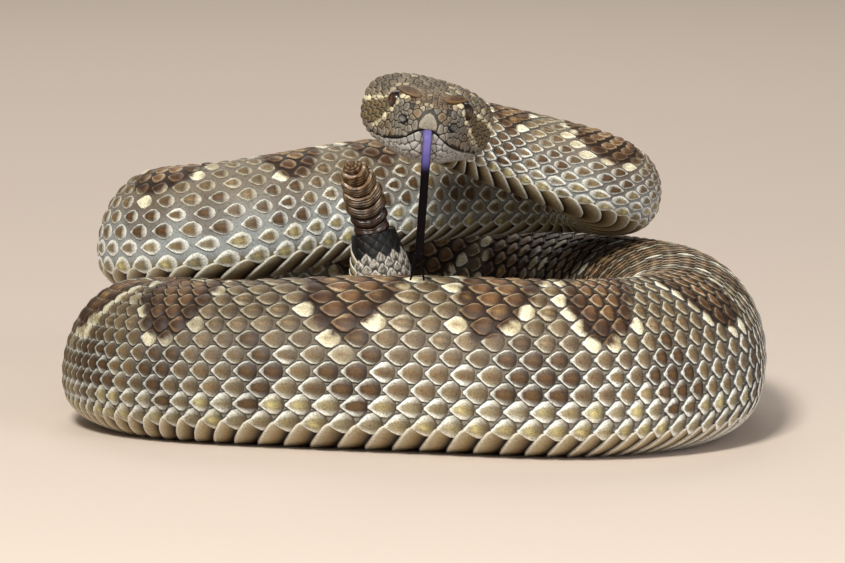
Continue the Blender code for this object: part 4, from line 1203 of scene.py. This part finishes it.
# ---------------------------------------------------------------- studio
def build_studio():
    """Plain pale floor, a small key from high in front and a little left, a broad low fill
    on the right, a weak light from behind and a low world."""
    material, _, shader = new_material("pale_floor", 0.9, 0.2)
    shader.inputs["Base Color"].default_value = (*linear("d8cabd"), 1.0)
    mesh = bpy.data.meshes.new("floor")
    mesh.from_pydata([(-4, -4, 0), (4, -4, 0), (4, 4, 0), (-4, 4, 0)], [], [(0, 1, 2, 3)])
    mesh.materials.append(material)
    floor = put("floor", mesh)
    aim = np.array([0.0, -0.01, 0.035])
    for name, place, size, power, code in (
            ("key", (-0.3, -1.03, 1.0), 0.28, 22.2, "fffbf4"),
            ("fill", (0.95, -0.9, 0.5), 0.9, 6.4, "f4f5ff"),
            ("back", (-0.1, 0.9, 0.9), 0.7, 4.0, "fffaf4")):
        lamp = bpy.data.lights.new(name, "AREA")
        lamp.size, lamp.energy, lamp.color = size, power, tuple(linear(code))
        facing = aim - np.array(place)
        put(name, lamp, place, (math.atan2(math.hypot(*facing[:2]), -facing[2]), 0,
                                math.atan2(facing[1], facing[0]) - math.pi / 2))
    world = bpy.data.worlds.new("studio")
    world.use_nodes = True
    sky = world.node_tree.nodes["Background"]
    sky.inputs["Color"].default_value = (*linear("efebe7"), 1.0)
    sky.inputs["Strength"].default_value = 0.25
    bpy.context.scene.world = world
    bpy.context.scene.view_settings.view_transform = "Standard"


def build_camera():
    """A long lens from straight in front, a little above, 1.8 m away."""
    tilt, distance, aim = math.radians(7.5), 1.8, (0.0021, 0.0005, 0.0302)
    camera = bpy.data.cameras.new("camera")
    camera.sensor_width, camera.lens, camera.clip_end = 36.0, 326.7, 20.0
    place = (aim[0], aim[1] - distance * math.cos(tilt), aim[2] + distance * math.sin(tilt))
    bpy.context.scene.camera = put("camera", camera, place, (math.pi / 2 - tilt, 0, 0))


def main():
    """Every material and piece; each piece hides the solids it stands for and hangs from the root.
    """
    build_camera()
    build_studio()
    # dry skin stretched between the scales: dull, with a leathery grain of half a millimetre
    hide = keratin("hide_between_scales", 0.62, 0.5, 0.05)
    # rough keeled scales: a soft sheen that breaks up in a fine dark fleck
    horny = keratin("keeled_scale_keratin", 0.55, 0.35, 0.05, 0.22, 0.35)
    # smooth plates of head and belly: an even, matt surface that hardly mirrors the sky
    smooth = keratin("smooth_plate_keratin", 0.55, 0.4, 0.05, 0.16, 0.16)
    # the rattle's old horn: worn bright on its ridges, with a coarser mottle
    horn = keratin("worn_horn", 0.36, 0.6, 0.1, 0.3, 0.45, 0.12)
    # a moist tongue: a thin wet film that breaks into small glints over its beads
    wet, tree, shader = new_material("moist_tongue", 0.3, 0.04, 0.07, 0.06)
    beads = add(tree, "ShaderNodeTexNoise", {"Scale": 1 / (0.45 * MM), "Detail": 1.0},
                {"Vector": add(tree, "ShaderNodeTexCoord").outputs["Object"]})
    bump = add(tree, "ShaderNodeBump", {"Strength": 0.8, "Distance": 0.12 * MM},
               {"Height": beads.outputs["Fac"]})
    tree.links.new(bump.outputs["Normal"], shader.inputs["Normal"])
    # the clear scale over the eye: a small sharp glint on a dark ball
    glassy = new_material("clear_eye_scale", 0.3, 0.3, 0.18, 0.08)[0]
    for material in (wet, glassy):
        tree = material.node_tree
        tint = add(tree, "ShaderNodeVertexColor", {"layer_name": "tint"})
        tree.links.new(tint.outputs["Color"], tree.nodes["Principled BSDF"].inputs["Base Color"])
    skin = build_skin(hide)
    flesh = ["head", "lower_jaw", "neck", "tail"] + [f"trunk_{k:02d}" for k in range(1, 15)]
    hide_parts(*flesh)
    coat = build_scales(horny) + [build_belly(smooth), build_head_plates(smooth),
                                  build_brows(smooth)]
    dressed = [skin] + coat
    for sign, node in ((1, "eye_left"), (-1, "eye_right")):
        ball = build_eye(sign, glassy)
        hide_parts(node)
        dressed.append(ball)
    tongue = build_tongue(wet)
    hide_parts("tongue")
    dressed.append(tongue)
    for k, ring in enumerate(build_rattle(horn)):
        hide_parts(f"rattle_{k + 1}")
        dressed.append(ring)
    for piece in dressed:
        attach(piece, "root")


main()
